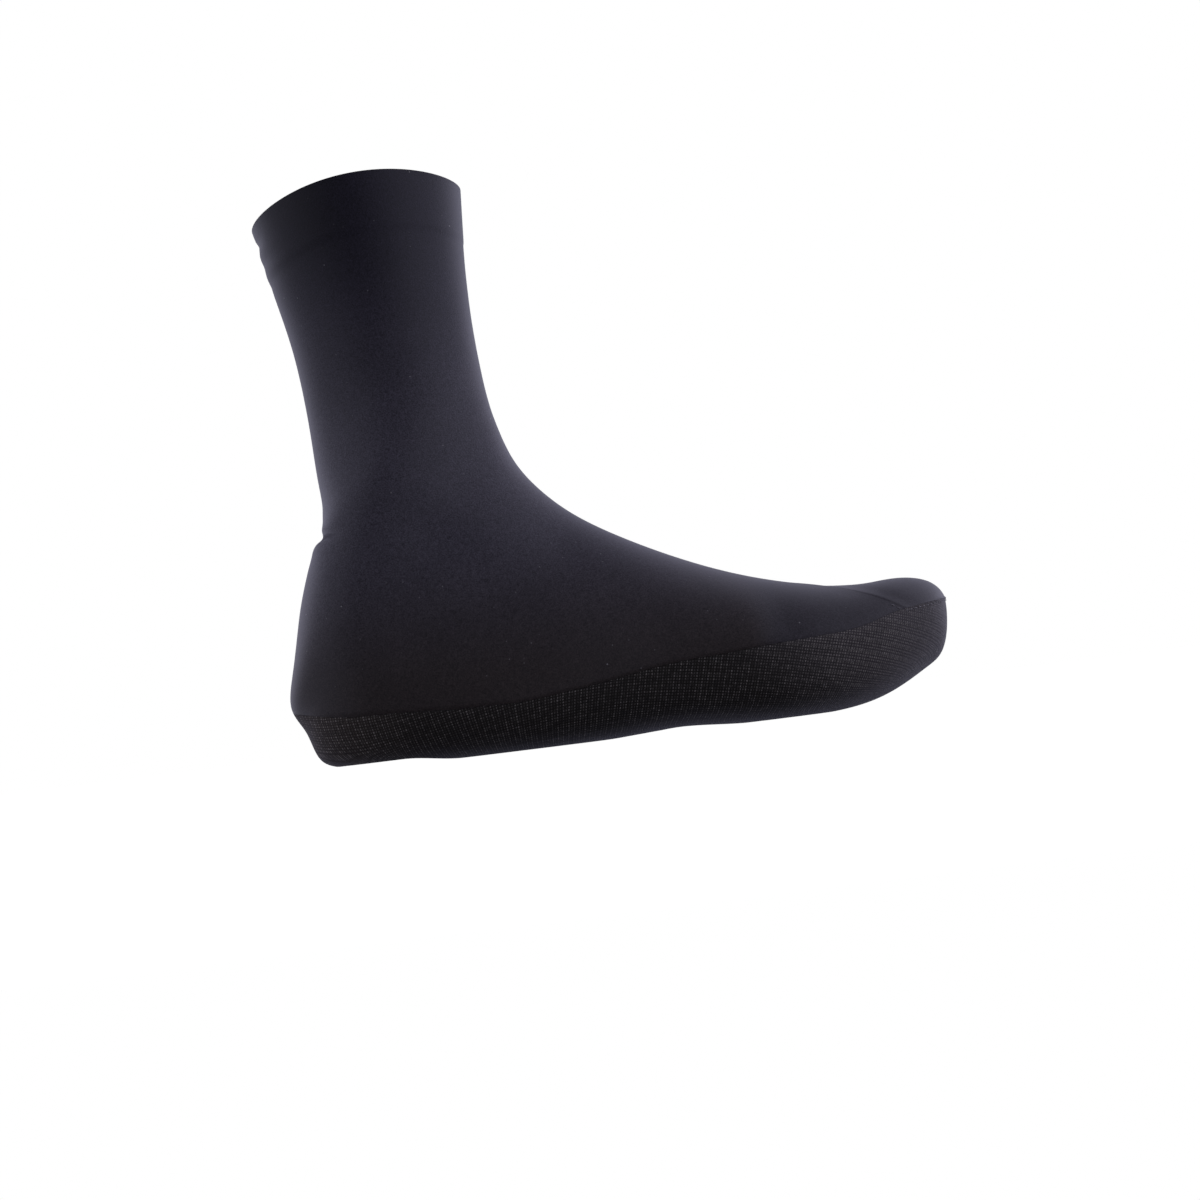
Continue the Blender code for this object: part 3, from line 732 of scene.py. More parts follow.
def opening_cutter(opening):
    """Upright prism with rounded corners that cuts one opening through the sole."""
    turn = np.linspace(0.0, np.pi / 2.0, OPENING_CORNER_STEPS + 1)
    spin = (turn[None, :] + np.arange(4)[:, None] * np.pi / 2.0).ravel()
    signs = np.repeat(np.array(((1, 1), (-1, 1), (-1, -1), (1, -1))), OPENING_CORNER_STEPS + 1, axis=0)
    half = np.array((opening.length, opening.width)) / 2.0 - OPENING_RADIUS
    middle = np.array((opening.middle - LENGTH / 2.0, opening.shift))
    outline = middle + signs * half + OPENING_RADIUS * np.stack((np.cos(spin), np.sin(spin)), axis=-1)
    count = len(outline)
    low = np.column_stack((outline, np.full(count, -CUTTER_REACH)))
    high = np.column_stack((outline, np.full(count, CUTTER_REACH)))
    here = np.arange(count)
    after = np.roll(here, -1)
    faces = np.stack((here, after, after + count, here + count), axis=-1).tolist()
    faces += [here[::-1].tolist(), (here + count).tolist()]
    mesh = bpy.data.meshes.new(opening.name)
    mesh.from_pydata(np.concatenate((low, high)).tolist(), [], faces)
    cutter = bpy.data.objects.new(opening.name, mesh)
    bpy.context.collection.objects.link(cutter)
    return cutter


def cut_openings(mesh):
    """Cut the openings through the sole cloth and return the finished mesh."""
    work = bpy.data.objects.new("sole_work", mesh)
    bpy.context.collection.objects.link(work)
    cutters = [opening_cutter(opening) for opening in OPENINGS]
    for cutter in cutters:
        cut = work.modifiers.new(cutter.name, "BOOLEAN")
        cut.operation = "DIFFERENCE"
        cut.solver = "EXACT"
        cut.object = cutter
    shown = work.evaluated_get(bpy.context.evaluated_depsgraph_get())
    finished = bpy.data.meshes.new_from_object(shown)
    for leftover in (work, *cutters):
        bpy.data.objects.remove(leftover)
    finished.name = "sole_cloth"
    return finished


def evenly_spaced(path, pitch):
    """Places along a path, as shares of its steps, that lie one pitch apart."""
    steps = np.concatenate(((0.0,), np.cumsum(np.linalg.norm(np.diff(path, axis=0), axis=-1))))
    count = int(steps[-1] / pitch)
    wanted = (np.arange(count) + 0.5) * steps[-1] / count
    return np.interp(wanted, steps, np.linspace(0.0, 1.0, len(path)))


def stitch_mesh(name, centres, along, up, sizes):
    """Row of thread stitches: each is a rounded rod that dips into the cloth at both ends.

    Along one stitch, s runs from -1 to 1. The rod's middle rises as 1 - s^2 and its radius as the square
    root of 1 - s^2, and its two ends close in points.
    """
    side = np.cross(up, along)
    place = np.linspace(-1.0, 1.0, STITCH_RINGS + 2)
    turn = np.arange(STITCH_SIDES) * 2.0 * np.pi / STITCH_SIDES
    rise = 1.0 - place**2
    radius = sizes.thread / 2.0 * np.sqrt(rise)
    spine_along = place * sizes.stitch_length / 2.0
    spine_up = (rise - 0.5) * sizes.thread
    ring_up = spine_up[1:-1, None] + radius[1:-1, None] * np.cos(turn)
    ring_side = radius[1:-1, None] * np.sin(turn)
    ring_along = spine_along[1:-1, None] + 0.0 * turn
    local = np.stack((ring_along, ring_side, ring_up), axis=-1).reshape(-1, 3)
    tips = np.array(((spine_along[0], 0.0, spine_up[0]), (spine_along[-1], 0.0, spine_up[-1])))
    local = np.concatenate((local, tips))
    axes = np.stack((along, side, up), axis=1)
    points = centres[:, None, :] + np.einsum("kc,ncd->nkd", local, axes)
    rings = np.arange(STITCH_RINGS * STITCH_SIDES).reshape(STITCH_RINGS, STITCH_SIDES)
    after = np.roll(rings, -1, axis=1)
    quads = np.stack((rings[:-1], after[:-1], after[1:], rings[1:]), axis=-1).reshape(-1, 4)
    first, last = rings.size, rings.size + 1
    caps = np.concatenate(
        (
            np.stack((after[0], rings[0], np.full(STITCH_SIDES, first)), axis=-1),
            np.stack((rings[-1], after[-1], np.full(STITCH_SIDES, last)), axis=-1),
        )
    )
    shift = (np.arange(len(centres)) * len(local))[:, None, None]
    faces = (quads[None] + shift).reshape(-1, 4).tolist() + (caps[None] + shift).reshape(-1, 3).tolist()
    mesh = bpy.data.meshes.new(name)
    mesh.from_pydata(points.reshape(-1, 3).tolist(), [], faces)
    mesh.shade_smooth()
    return mesh


def stitches_along(name, row, angle, lift, sizes, reach=1.0):
    """Stitches at even pitch along a path on the dressed surface, up to a share of it from both ends."""
    path, _ = dressed_skins(row, angle, lift, 0.0)
    share = evenly_spaced(path, sizes.stitch_pitch)
    share = share[np.minimum(share, 1.0 - share) < reach]
    steps = np.linspace(0.0, 1.0, len(path))

    def at_stitches(values):
        """Values at the stitches, from those along the path."""
        return np.stack([np.interp(share, steps, values[:, axis]) for axis in range(3)], axis=-1)

    up = to_unit(at_stitches(outward(row, angle)))
    along = at_stitches(np.gradient(path, axis=0))
    along = to_unit(along - np.sum(along * up, axis=-1, keepdims=True) * up)
    return stitch_mesh(name, at_stitches(path), along, up, sizes)


def feed(tree, socket, value):
    """Link a socket to another one, or set it to a plain number or colour."""
    if isinstance(value, bpy.types.NodeSocket):
        tree.links.new(value, socket)
    elif socket.type == "RGBA":
        socket.default_value = (*value, 1.0)
    else:
        socket.default_value = value


def arithmetic(tree, operation, first, second=0.0, third=0.0):
    """Output of one arithmetic node, fed by sockets or by plain numbers."""
    step = tree.nodes.new("ShaderNodeMath")
    step.operation = operation
    for socket, value in zip(step.inputs, (first, second, third)):
        feed(tree, socket, value)
    return step.outputs[0]


def times(tree, first, second):
    """Product of two values."""
    return arithmetic(tree, "MULTIPLY", first, second)


def straight(tree, value, slope, start):
    """Straight line start + slope * value."""
    return arithmetic(tree, "MULTIPLY_ADD", value, slope, start)


def from_middle(tree, value):
    """How far the fractional part of a value is from one half."""
    return arithmetic(tree, "ABSOLUTE", arithmetic(tree, "SUBTRACT", arithmetic(tree, "FRACT", value), 0.5))


def band(tree, value, low, high):
    """Smooth step of a value from 0 at low to 1 at high."""
    step = tree.nodes.new("ShaderNodeMapRange")
    step.interpolation_type = "SMOOTHSTEP"
    tree.links.new(value, step.inputs["Value"])
    step.inputs["From Min"].default_value = low
    step.inputs["From Max"].default_value = high
    return step.outputs["Result"]


def split(tree, vector):
    """X, Y and Z of a vector."""
    step = tree.nodes.new("ShaderNodeSeparateXYZ")
    tree.links.new(vector, step.inputs["Vector"])
    return step.outputs


def noise(tree, vector, scale, detail):
    """Noise value at a scale, in features for each metre."""
    texture = tree.nodes.new("ShaderNodeTexNoise")
    tree.links.new(vector, texture.inputs["Vector"])
    texture.inputs["Scale"].default_value = scale
    texture.inputs["Detail"].default_value = detail
    return texture.outputs["Fac"]


def blend(tree, share, first, second, mode="MIX"):
    """Mix of two colours by a share, each a socket or a plain colour."""
    step = tree.nodes.new("ShaderNodeMix")
    step.data_type = "RGBA"
    step.blend_type = mode
    for socket, value in ((step.inputs[0], share), (step.inputs[6], first), (step.inputs[7], second)):
        feed(tree, socket, value)
    return step.outputs[2]


def new_group(name, inputs, outputs):
    """Empty shader group with named sockets, and its input and output nodes."""
    tree = bpy.data.node_groups.new(name, "ShaderNodeTree")
    for label, kind, default in inputs:
        socket = tree.interface.new_socket(name=label, in_out="INPUT", socket_type=kind)
        if default is not None:
            socket.default_value = default
    for label in outputs:
        tree.interface.new_socket(name=label, in_out="OUTPUT", socket_type="NodeSocketFloat")
    return tree, tree.nodes.new("NodeGroupInput").outputs, tree.nodes.new("NodeGroupOutput").inputs


def soft_knit_group():
    """Shared fabric effect: fine knit grain, broad mottling and sparse lint.

    Grain is noise at two fine scales. Lint is the middle of a few cells of a cell pattern.
    """
    name = "soft_knit"
    if name in bpy.data.node_groups:
        return bpy.data.node_groups[name]
    inputs = (("Position", "NodeSocketVector", None), ("Lint Amount", "NodeSocketFloat", 0.3))
    tree, given, result = new_group(name, inputs, ("Grain", "Mottle", "Lint"))
    place = given["Position"]
    fine = noise(tree, place, FINE_GRAIN, GRAIN_DETAIL)
    coarse = times(tree, noise(tree, place, COARSE_GRAIN, GRAIN_DETAIL), 1.0 - FINE_SHARE)
    tree.links.new(straight(tree, fine, FINE_SHARE, coarse), result["Grain"])
    tree.links.new(noise(tree, place, MOTTLE, MOTTLE_DETAIL), result["Mottle"])
    cells = tree.nodes.new("ShaderNodeTexVoronoi")
    cells.inputs["Scale"].default_value = LINT
    tree.links.new(place, cells.inputs["Vector"])
    parts = tree.nodes.new("ShaderNodeSeparateColor")
    tree.links.new(cells.outputs["Color"], parts.inputs["Color"])
    speck = band(tree, cells.outputs["Distance"], *LINT_RADII)
    chosen = arithmetic(tree, "LESS_THAN", parts.outputs["Red"], given["Lint Amount"])
    bright = arithmetic(tree, "POWER", parts.outputs["Green"], LINT_POWER)
    tree.links.new(times(tree, times(tree, speck, chosen), bright), result["Lint"])
    return tree


def dotted_weave_group():
    """Shared fabric effect: light dots in columns, fainter columns between, a thread line every few rows.

    A column is a narrow band of the place along the cloth, and every second one is strong. A dot is a band
    of the height on the cloth, and each dot has a brightness of its own. The row share spreads the dots
    sideways into rows. The thread line is a narrow band once in a few rows, with a painted shade in a groove
    beside it.
    """
    name = "dotted_weave"
    if name in bpy.data.node_groups:
        return bpy.data.node_groups[name]
    inputs = (
        ("Cloth", "NodeSocketVector", None),
        ("Column Pitch", "NodeSocketFloat", 0.0025),
        ("Row Pitch", "NodeSocketFloat", 0.0013),
        ("Row Share", "NodeSocketFloat", 0.1),
        ("Line Strength", "NodeSocketFloat", 0.16),
    )
    tree, given, result = new_group(name, inputs, ("Dots", "Groove", "Relief"))
    cloth = split(tree, given["Cloth"])
    across = arithmetic(tree, "DIVIDE", cloth["X"], given["Column Pitch"])
    upward = arithmetic(tree, "DIVIDE", cloth["Y"], given["Row Pitch"])
    strong = band(tree, from_middle(tree, across), *STRONG_COLUMN)
    faint = band(tree, from_middle(tree, arithmetic(tree, "ADD", across, 0.5)), *FAINT_COLUMN)
    columns = straight(tree, faint, straight(tree, given["Row Share"], *FAINT_COLUMN_SHARE), strong)
    spread = arithmetic(tree, "SUBTRACT", ROW_LEVEL, columns)
    columns = straight(tree, spread, given["Row Share"], columns)
    threads = times(tree, columns, band(tree, from_middle(tree, upward), *DOT_HEIGHT))
    cell = tree.nodes.new("ShaderNodeCombineXYZ")
    tree.links.new(arithmetic(tree, "FLOOR", times(tree, across, 2.0)), cell.inputs["X"])
    tree.links.new(arithmetic(tree, "FLOOR", upward), cell.inputs["Y"])
    chance = tree.nodes.new("ShaderNodeTexWhiteNoise")
    tree.links.new(cell.outputs["Vector"], chance.inputs["Vector"])
    least = straight(tree, given["Row Share"], *LEAST_DOT)
    level = arithmetic(tree, "POWER", chance.outputs["Value"], DOT_POWER)
    level = straight(tree, level, arithmetic(tree, "SUBTRACT", 1.0, least), least)
    lines = times(tree, upward, 1.0 / LINE_EVERY)
    line = band(tree, from_middle(tree, lines), *THREAD_LINE)
    line_dots = times(tree, line, chance.outputs["Value"])
    dots = straight(tree, line_dots, given["Line Strength"], times(tree, threads, level))
    # Painted shade in the groove beside each thread line
    groove_shade = band(tree, from_middle(tree, arithmetic(tree, "ADD", lines, GROOVE_SHADE_PLACE)), *GROOVE_SHADE)
    tree.links.new(dots, result["Dots"])
    tree.links.new(groove_shade, result["Groove"])
    tree.links.new(arithmetic(tree, "MAXIMUM", threads, line), result["Relief"])
    return tree


def new_material(name, roughness, sheen, sheen_tint):
    """Material with its shader, its node tree and the constant values of the shader set."""
    material = bpy.data.materials.new(name)
    material.use_nodes = True
    tree = material.node_tree
    shader = tree.nodes["Principled BSDF"]
    shader.inputs["Metallic"].default_value = 0.0
    shader.inputs["Roughness"].default_value = roughness
    shader.inputs["Sheen Weight"].default_value = sheen
    shader.inputs["Sheen Roughness"].default_value = SHEEN_ROUGHNESS
    shader.inputs["Sheen Tint"].default_value = (*sheen_tint, 1.0)
    return material, tree, shader


def add_bump(tree, shader, height, strength, distance):
    """Feed a height to the shader's normal through a bump node."""
    bump = tree.nodes.new("ShaderNodeBump")
    bump.inputs["Strength"].default_value = strength
    bump.inputs["Distance"].default_value = distance
    tree.links.new(height, bump.inputs["Height"])
    tree.links.new(bump.outputs["Normal"], shader.inputs["Normal"])


def add_group(tree, group, **values):
    """Place a shared effect in a material, with its own values or sockets."""
    step = tree.nodes.new("ShaderNodeGroup")
    step.node_tree = group
    for label, value in values.items():
        feed(tree, step.inputs[label.replace("_", " ").title()], value)
    return step.outputs


def knit_material(name, high_color, middle_color, low_color, colors):
    """Smooth stretch knit: darker high up, warmer low down, paler towards the toes, partly painted light and
    shade.

    A painted shade darkens the back of the collar. Grain and mottling multiply the colour, and lint covers
    it.
    """
    material, tree, shader = new_material(name, colors.knit_roughness, colors.knit_sheen, colors.sheen_tint)
    position = tree.nodes.new("ShaderNodeTexCoord").outputs["Object"]
    effect = add_group(tree, soft_knit_group(), position=position, lint_amount=colors.lint_amount)
    place = split(tree, position)
    # Partly painted light and shade: darker high up, warmer low down
    base = blend(tree, band(tree, place["Z"], *LOW_KNIT_RANGE), low_color, middle_color)
    base = blend(tree, band(tree, place["Z"], *HIGH_KNIT_RANGE), base, high_color)
    # Painted shade: the knit is darkened at the back of the collar
    shade_height = band(tree, place["Z"], *COLLAR_SHADE_HEIGHT_RANGE)
    painted_collar_shade = times(tree, band(tree, place["X"], *COLLAR_SHADE_ALONG_RANGE), shade_height)
    base = blend(tree, painted_collar_shade, base, colors.collar_back_painted_shade)
    # Partly painted light: the tone edge to the toe colour, where the forefoot turns towards the light at
    # the toe
    slant = straight(tree, place["Z"], TOE_TONE_SLANT, place["X"])
    base = blend(tree, band(tree, slant, *TOE_TONE_RANGE), base, colors.toe)
    shade = straight(tree, effect["Grain"], *KNIT_GRAIN_SHADE)
    shade = times(tree, shade, straight(tree, effect["Mottle"], *KNIT_MOTTLE_SHADE))
    base = blend(tree, 1.0, base, shade, "MULTIPLY")
    base = blend(tree, effect["Lint"], base, colors.lint)
    tree.links.new(base, shader.inputs["Base Color"])
    least = colors.knit_roughness - KNIT_ROUGHNESS_SPREAD / 2.0
    rough = straight(tree, effect["Grain"], KNIT_ROUGHNESS_SPREAD, least)
    tree.links.new(rough, shader.inputs["Roughness"])
    add_bump(tree, shader, effect["Grain"], *KNIT_RELIEF)
    return material


def zoned(tree, zones, amounts):
    """Value along the sole: its amount in the middle, plus what each zone adds times the zone's share."""
    value = amounts.middle
    for zone, amount in zip(zones, amounts[1:]):
        if amount:
            value = straight(tree, zone, amount, value)
    return value


def sole_material(colors, sizes):
    """Hard-wearing cloth with a grid of light thread dots, on a ground that is paler at the toe and heel, a
    painted sheen.
    """
    finish = (colors.sole_roughness, colors.sole_sheen, colors.sheen_tint)
    material, tree, shader = new_material("sole_cloth", *finish)
    shader.inputs["Specular IOR Level"].default_value = SOLE_SPECULAR
    coordinates = tree.nodes.new("ShaderNodeTexCoord").outputs
    position, lint_amount = coordinates["Object"], colors.lint_amount / 2.0
    effect = add_group(tree, soft_knit_group(), position=position, lint_amount=lint_amount)
    place = split(tree, position)
    to_toe = band(tree, straight(tree, place["Z"], SOLE_TOE_SLANT, place["X"]), *SOLE_TOE_RANGE)
    to_heel = band(tree, place["X"], *SOLE_HEEL_RANGE)
    to_tip = band(tree, place["X"], *SOLE_TIP_RANGE)
    zones = (to_toe, to_heel, to_tip)
    weave = add_group(
        tree,
        dotted_weave_group(),
        cloth=coordinates["UV"],
        column_pitch=sizes.weave_column,
        row_pitch=sizes.weave_row,
        row_share=zoned(tree, zones, ROW_SHARE),
        line_strength=zoned(tree, zones, LINE_STRENGTH),
    )
    # Painted sheen: the ground is paler at the toe and the heel
    ground = blend(tree, to_toe, colors.sole, colors.sole_toe_painted_sheen)
    ground = blend(tree, to_heel, ground, colors.sole_heel_painted_sheen)
    # Painted shade: the groove beside each thread line goes back to the darker ground of the middle
    painted_groove_shade = times(tree, weave["Groove"], zoned(tree, zones, GROOVE_SHADE_STRENGTH))
    ground = blend(tree, painted_groove_shade, ground, colors.sole)
    ground = blend(tree, 1.0, ground, straight(tree, effect["Grain"], *SOLE_GRAIN_SHADE), "MULTIPLY")
    dots = times(tree, weave["Dots"], straight(tree, effect["Mottle"], *SOLE_MOTTLE_SHADE))
    dots = times(tree, dots, zoned(tree, zones, DOT_STRENGTH))
    base = blend(tree, dots, ground, colors.sole_dots, "ADD")
    base = blend(tree, effect["Lint"], base, colors.lint)
    tree.links.new(base, shader.inputs["Base Color"])
    least = colors.sole_roughness - SOLE_ROUGHNESS_SPREAD / 2.0
    rough = straight(tree, effect["Grain"], SOLE_ROUGHNESS_SPREAD, least)
    tree.links.new(straight(tree, to_tip, -TIP_ROUGHNESS_DROP, rough), shader.inputs["Roughness"])
    height = times(tree, effect["Grain"], GRAIN_RELIEF_SHARE)
    add_bump(tree, shader, straight(tree, weave["Relief"], WEAVE_RELIEF_SHARE, height), *SOLE_RELIEF)
    return material


def plain_material(name, color, roughness, colors):
    """Plain narrow goods, such as band and thread, with the shared fabric grain."""
    material, tree, shader = new_material(name, roughness, colors.knit_sheen, colors.sheen_tint)
    position = tree.nodes.new("ShaderNodeTexCoord").outputs["Object"]
    effect = add_group(tree, soft_knit_group(), position=position, lint_amount=0.0)
    dark = tuple(DARK_YARN * channel for channel in color)
    tree.links.new(blend(tree, effect["Grain"], dark, color), shader.inputs["Base Color"])
    add_bump(tree, shader, effect["Grain"], *YARN_RELIEF)
    return material


def color_property(name, description, default):
    """Colour that a user may change."""
    return bpy.props.FloatVectorProperty(
        name=name, description=description, default=default, size=3, subtype="COLOR", min=0.0, max=1.0
    )


def length_property(name, description, default):
    """Length in metres that a user may change."""
    return bpy.props.FloatProperty(
        name=name, description=description, default=default, unit="LENGTH", precision=5
    )


def share_property(name, description, default):
    """Share from 0 to 1 that a user may change."""
    return bpy.props.FloatProperty(
        name=name, description=description, default=default, subtype="FACTOR", min=0.0, max=1.0
    )


def light_property(name, description, default):
    """Brightness of a light that a user may change."""
    return bpy.props.FloatProperty(name=name, description=description, default=default, min=0.0)


class OvershoeSizes(bpy.types.PropertyGroup):
    """Sizes of the overshoe's walls, seams and stitches."""

    upper_wall: length_property("Upper wall", "Thickness of the upper and the toe panel", 0.0012)
    sole_wall: length_property("Sole wall", "Thickness of the sole cloth", 0.0016)
    seam_sink: length_property("Seam sink", "Depth of the fabric's dip at a seam", 0.0004)
    seam_width: length_property("Seam width", "Half width of the fabric's dip at a seam", 0.0007)
    seam_ridge: length_property("Seam ridge", "Height of the sole seam's ridge round the toes", 0.0005)
    toe_lip: length_property("Toe lip", "Rise of the upper's edge over the toe seam", 0.00012)
    toe_lip_width: length_property("Toe lip width", "Width of the rise at the toe seam", 0.0022)
    toe_hollow: length_property("Toe hollow", "Depth of the hollow along the toe seam", 0.0003)
    toe_hollow_place: length_property("Toe hollow place", "Distance of the hollow from the toe seam", 0.0060)
    toe_hollow_width: length_property("Toe hollow width", "Half width of the hollow", 0.0060)
    cuff_depth: length_property("Cuff depth", "Height of the band inside the collar", 0.0235)
    cuff_step: length_property("Cuff step", "Rise of the fabric over the band", 0.00025)
    cuff_step_run: length_property("Cuff step run", "Width of the slope at the band's lower edge", 0.0018)
    cuff_wall: length_property("Cuff wall", "Thickness of the band inside the collar", 0.0008)
    cuff_setback: length_property("Cuff setback", "How far the band stays under the rim", 0.0006)
    thread: length_property("Thread", "Diameter of the stitching thread", 0.00038)
    stitch_length: length_property("Stitch length", "Length of one stitch", 0.0019)
    stitch_pitch: length_property("Stitch pitch", "Distance from stitch to stitch", 0.0026)
    stitch_offset: length_property("Stitch offset", "Distance of the stitches from the seam", 0.0020)
    weave_column: length_property("Weave columns", "Distance between the strong columns of dots", 0.00252)
    weave_row: length_property("Weave rows", "Distance between the rows of dots", 0.0013)


class OvershoeColors(bpy.types.PropertyGroup):
    """Colours and finishes of the overshoe's fabrics."""

    # The knit's colours by height are partly painted light and shade
    upper_high: color_property("Upper, high", "Colour of the knit at the collar", (0.030, 0.027, 0.041))
    # Colour of the painted shade at the back of the collar
    collar_back_painted_shade: color_property("Upper, back", "Colour at the collar's back", (0.010, 0.009, 0.015))
    upper_middle: color_property("Upper, middle", "Colour of the knit at the ankle", (0.089, 0.083, 0.101))
    upper_low: color_property("Upper, low", "Colour of the knit near the sole", (0.052, 0.042, 0.037))
    # The toe colour is partly painted light, for the forefoot's turn towards the light at the toe
    toe: color_property("Toe", "Colour of the knit stretched over the toes", (0.056, 0.051, 0.057))
    sole: color_property("Sole", "Ground colour under the foot's middle", (0.020, 0.017, 0.013))
    # Ground colours at the toe and the heel carry a painted sheen
    sole_toe_painted_sheen: color_property("Sole, toe", "Ground colour at the toe", (0.079, 0.0705, 0.069))
    sole_heel_painted_sheen: color_property("Sole, heel", "Ground colour at the heel", (0.069, 0.056, 0.044))
    sole_dots: color_property("Sole dots", "Colour of the sole cloth's dots", (0.44, 0.41, 0.36))
    band: color_property("Band", "Colour of the band inside the collar", (0.0200, 0.0200, 0.0220))
    edge_thread: color_property("Edge thread", "Colour of the toe's stitches", (0.46, 0.44, 0.45))
    lint: color_property("Lint", "Colour of the lint", (0.40, 0.39, 0.38))
    sheen_tint: color_property("Sheen tint", "Tint of the fabric's sheen", (0.80, 0.82, 1.0))
    knit_roughness: share_property("Knit roughness", "Roughness of the knit", 0.44)
    knit_sheen: share_property("Knit sheen", "Strength of the knit's sheen", 0.06)
    sole_roughness: share_property("Sole roughness", "Roughness of the sole cloth", 0.72)
    sole_sheen: share_property("Sole sheen", "Strength of the sole cloth's sheen", 0.16)
    band_roughness: share_property("Band roughness", "Roughness of the band inside the collar", 0.45)
    thread_roughness: share_property("Thread roughness", "Roughness of the stitching thread", 0.5)
    lint_amount: share_property("Lint amount", "Share of places that carry lint", 0.3)


class OvershoeStage(bpy.types.PropertyGroup):
    """Floor, light and camera."""

    floor: color_property("Floor", "Colour of the floor and the background", (1.0, 1.0, 1.0))
    back_light: light_property("Back light", "Brightness behind the shoe", 0.62)
    front_light: light_property("Front light", "Brightness in front of the shoe", 0.03)
    toe_light: light_property("Toe light", "Brightness at the toe's side", 0.65)
    heel_light: light_property("Heel light", "Brightness at the heel's side", 0.50)
    top_light: light_property("Top light", "Brightness overhead", 0.05)
    light_tint: color_property("Light tint", "Tint of the studio light", (0.80, 0.79, 1.0))
    lens: bpy.props.FloatProperty(
        name="Lens", description="Focal length of the camera", default=CAMERA_LENS, subtype="DISTANCE_CAMERA"
    )


class OVERSHOE_OT_make_upper(bpy.types.Operator):
    """Make the stretch upper, from the toe seam to the collar"""

    bl_idname = "overshoe.make_upper"
    bl_label = "Upper"

    def execute(self, context):
        sizes, colors = context.scene.overshoe_sizes, context.scene.overshoe_colors
        row, angle, lift = upper_grid(sizes)
        skins = dressed_skins(row, angle, lift, sizes.upper_wall)
        labels = grid_labels(*row.shape)
        labels[UPPER_FOOT_ROWS:, -1] = labels[UPPER_FOOT_ROWS:, 0]
        mesh = wall_mesh("upper_knit", skins, labels, cloth_map(skins[0], UPPER_COLUMNS // 2))
        shades = (colors.upper_high, colors.upper_middle, colors.upper_low)
        material = knit_material("upper_knit", *shades, colors)
        add_piece(mesh, material, ("upper",))
        return {"FINISHED"}


class OVERSHOE_OT_make_toe_panel(bpy.types.Operator):
    """Make the V-shaped panel over the toes"""

    bl_idname = "overshoe.make_toe_panel"
    bl_label = "Toe panel"

    def execute(self, context):
        sizes, colors = context.scene.overshoe_sizes, context.scene.overshoe_colors
        row, angle, lift = toe_grid(sizes)
        skins = dressed_skins(row, angle, lift, sizes.upper_wall)
        labels = grid_labels(*row.shape)
        labels[0] = np.minimum(labels[0], labels[0, ::-1])
        mesh = wall_mesh("toe_knit", skins, labels, cloth_map(skins[0], TOE_COLUMNS // 2))
        material = knit_material("toe_knit", colors.toe, colors.toe, colors.toe, colors)
        add_piece(mesh, material, ("toe_panel",))
        return {"FINISHED"}


class OVERSHOE_OT_make_sole(bpy.types.Operator):
    """Make the dotted sole cloth with its openings"""

    bl_idname = "overshoe.make_sole"
    bl_label = "Sole"

    def execute(self, context):
        sizes, colors = context.scene.overshoe_sizes, context.scene.overshoe_colors
        row, angle, lift = sole_grid(sizes)
        skins = dressed_skins(row, angle, lift, sizes.sole_wall)
        labels = grid_labels(*row.shape)
        labels[0] = np.minimum(labels[0], labels[0, ::-1])
        labels[-1] = labels[-1, 0]
        mesh = cut_openings(wall_mesh("sole_uncut", skins, labels, sole_cloth_map(skins[0])))
        add_piece(mesh, sole_material(colors, sizes), ("sole",))
        return {"FINISHED"}


class OVERSHOE_OT_make_cuff_band(bpy.types.Operator):
    """Make the band inside the collar"""

    bl_idname = "overshoe.make_cuff_band"
    bl_label = "Cuff band"

    def execute(self, context):
        sizes, colors = context.scene.overshoe_sizes, context.scene.overshoe_colors
        row, angle, lift = cuff_grid(sizes)
        skins = dressed_skins(row, angle, lift, sizes.cuff_wall)
        labels = grid_labels(*row.shape)
        labels[:, -1] = labels[:, 0]
        mesh = wall_mesh("cuff_band_cloth", skins, labels, cloth_map(skins[0], CUFF_COLUMNS // 2))
        material = plain_material("cuff_band_cloth", colors.band, colors.band_roughness, colors)
        add_piece(mesh, material, ("cuff_band",))
        return {"FINISHED"}


class OVERSHOE_OT_make_stitches(bpy.types.Operator):
    """Make the stitches beside the toe seam and along the sole seam round the toes"""

    bl_idname = "overshoe.make_stitches"
    bl_label = "Stitches"

    def execute(self, context):
        sizes, colors = context.scene.overshoe_sizes, context.scene.overshoe_colors
        material = plain_material("edge_thread", colors.edge_thread, colors.thread_roughness, colors)
        mesh = stitches_along("toe_seam_stitches", *toe_seam_path(sizes), sizes, TOE_STITCH_REACH)
        add_piece(mesh, material, ())
        mesh = stitches_along("toe_edge_stitches", *toe_edge_path(sizes), sizes)
        add_piece(mesh, material, ())
        return {"FINISHED"}


class OVERSHOE_OT_make_stage(bpy.types.Operator):
    """Make the pale floor, the soft studio light and the camera"""

    bl_idname = "overshoe.make_stage"
    bl_label = "Stage"

    def execute(self, context):
        stage = context.scene.overshoe_stage
        make_floor(stage)
        make_light(context.scene, stage)
        make_camera(context.scene, stage)
        context.scene.view_settings.view_transform = "Standard"
        return {"FINISHED"}


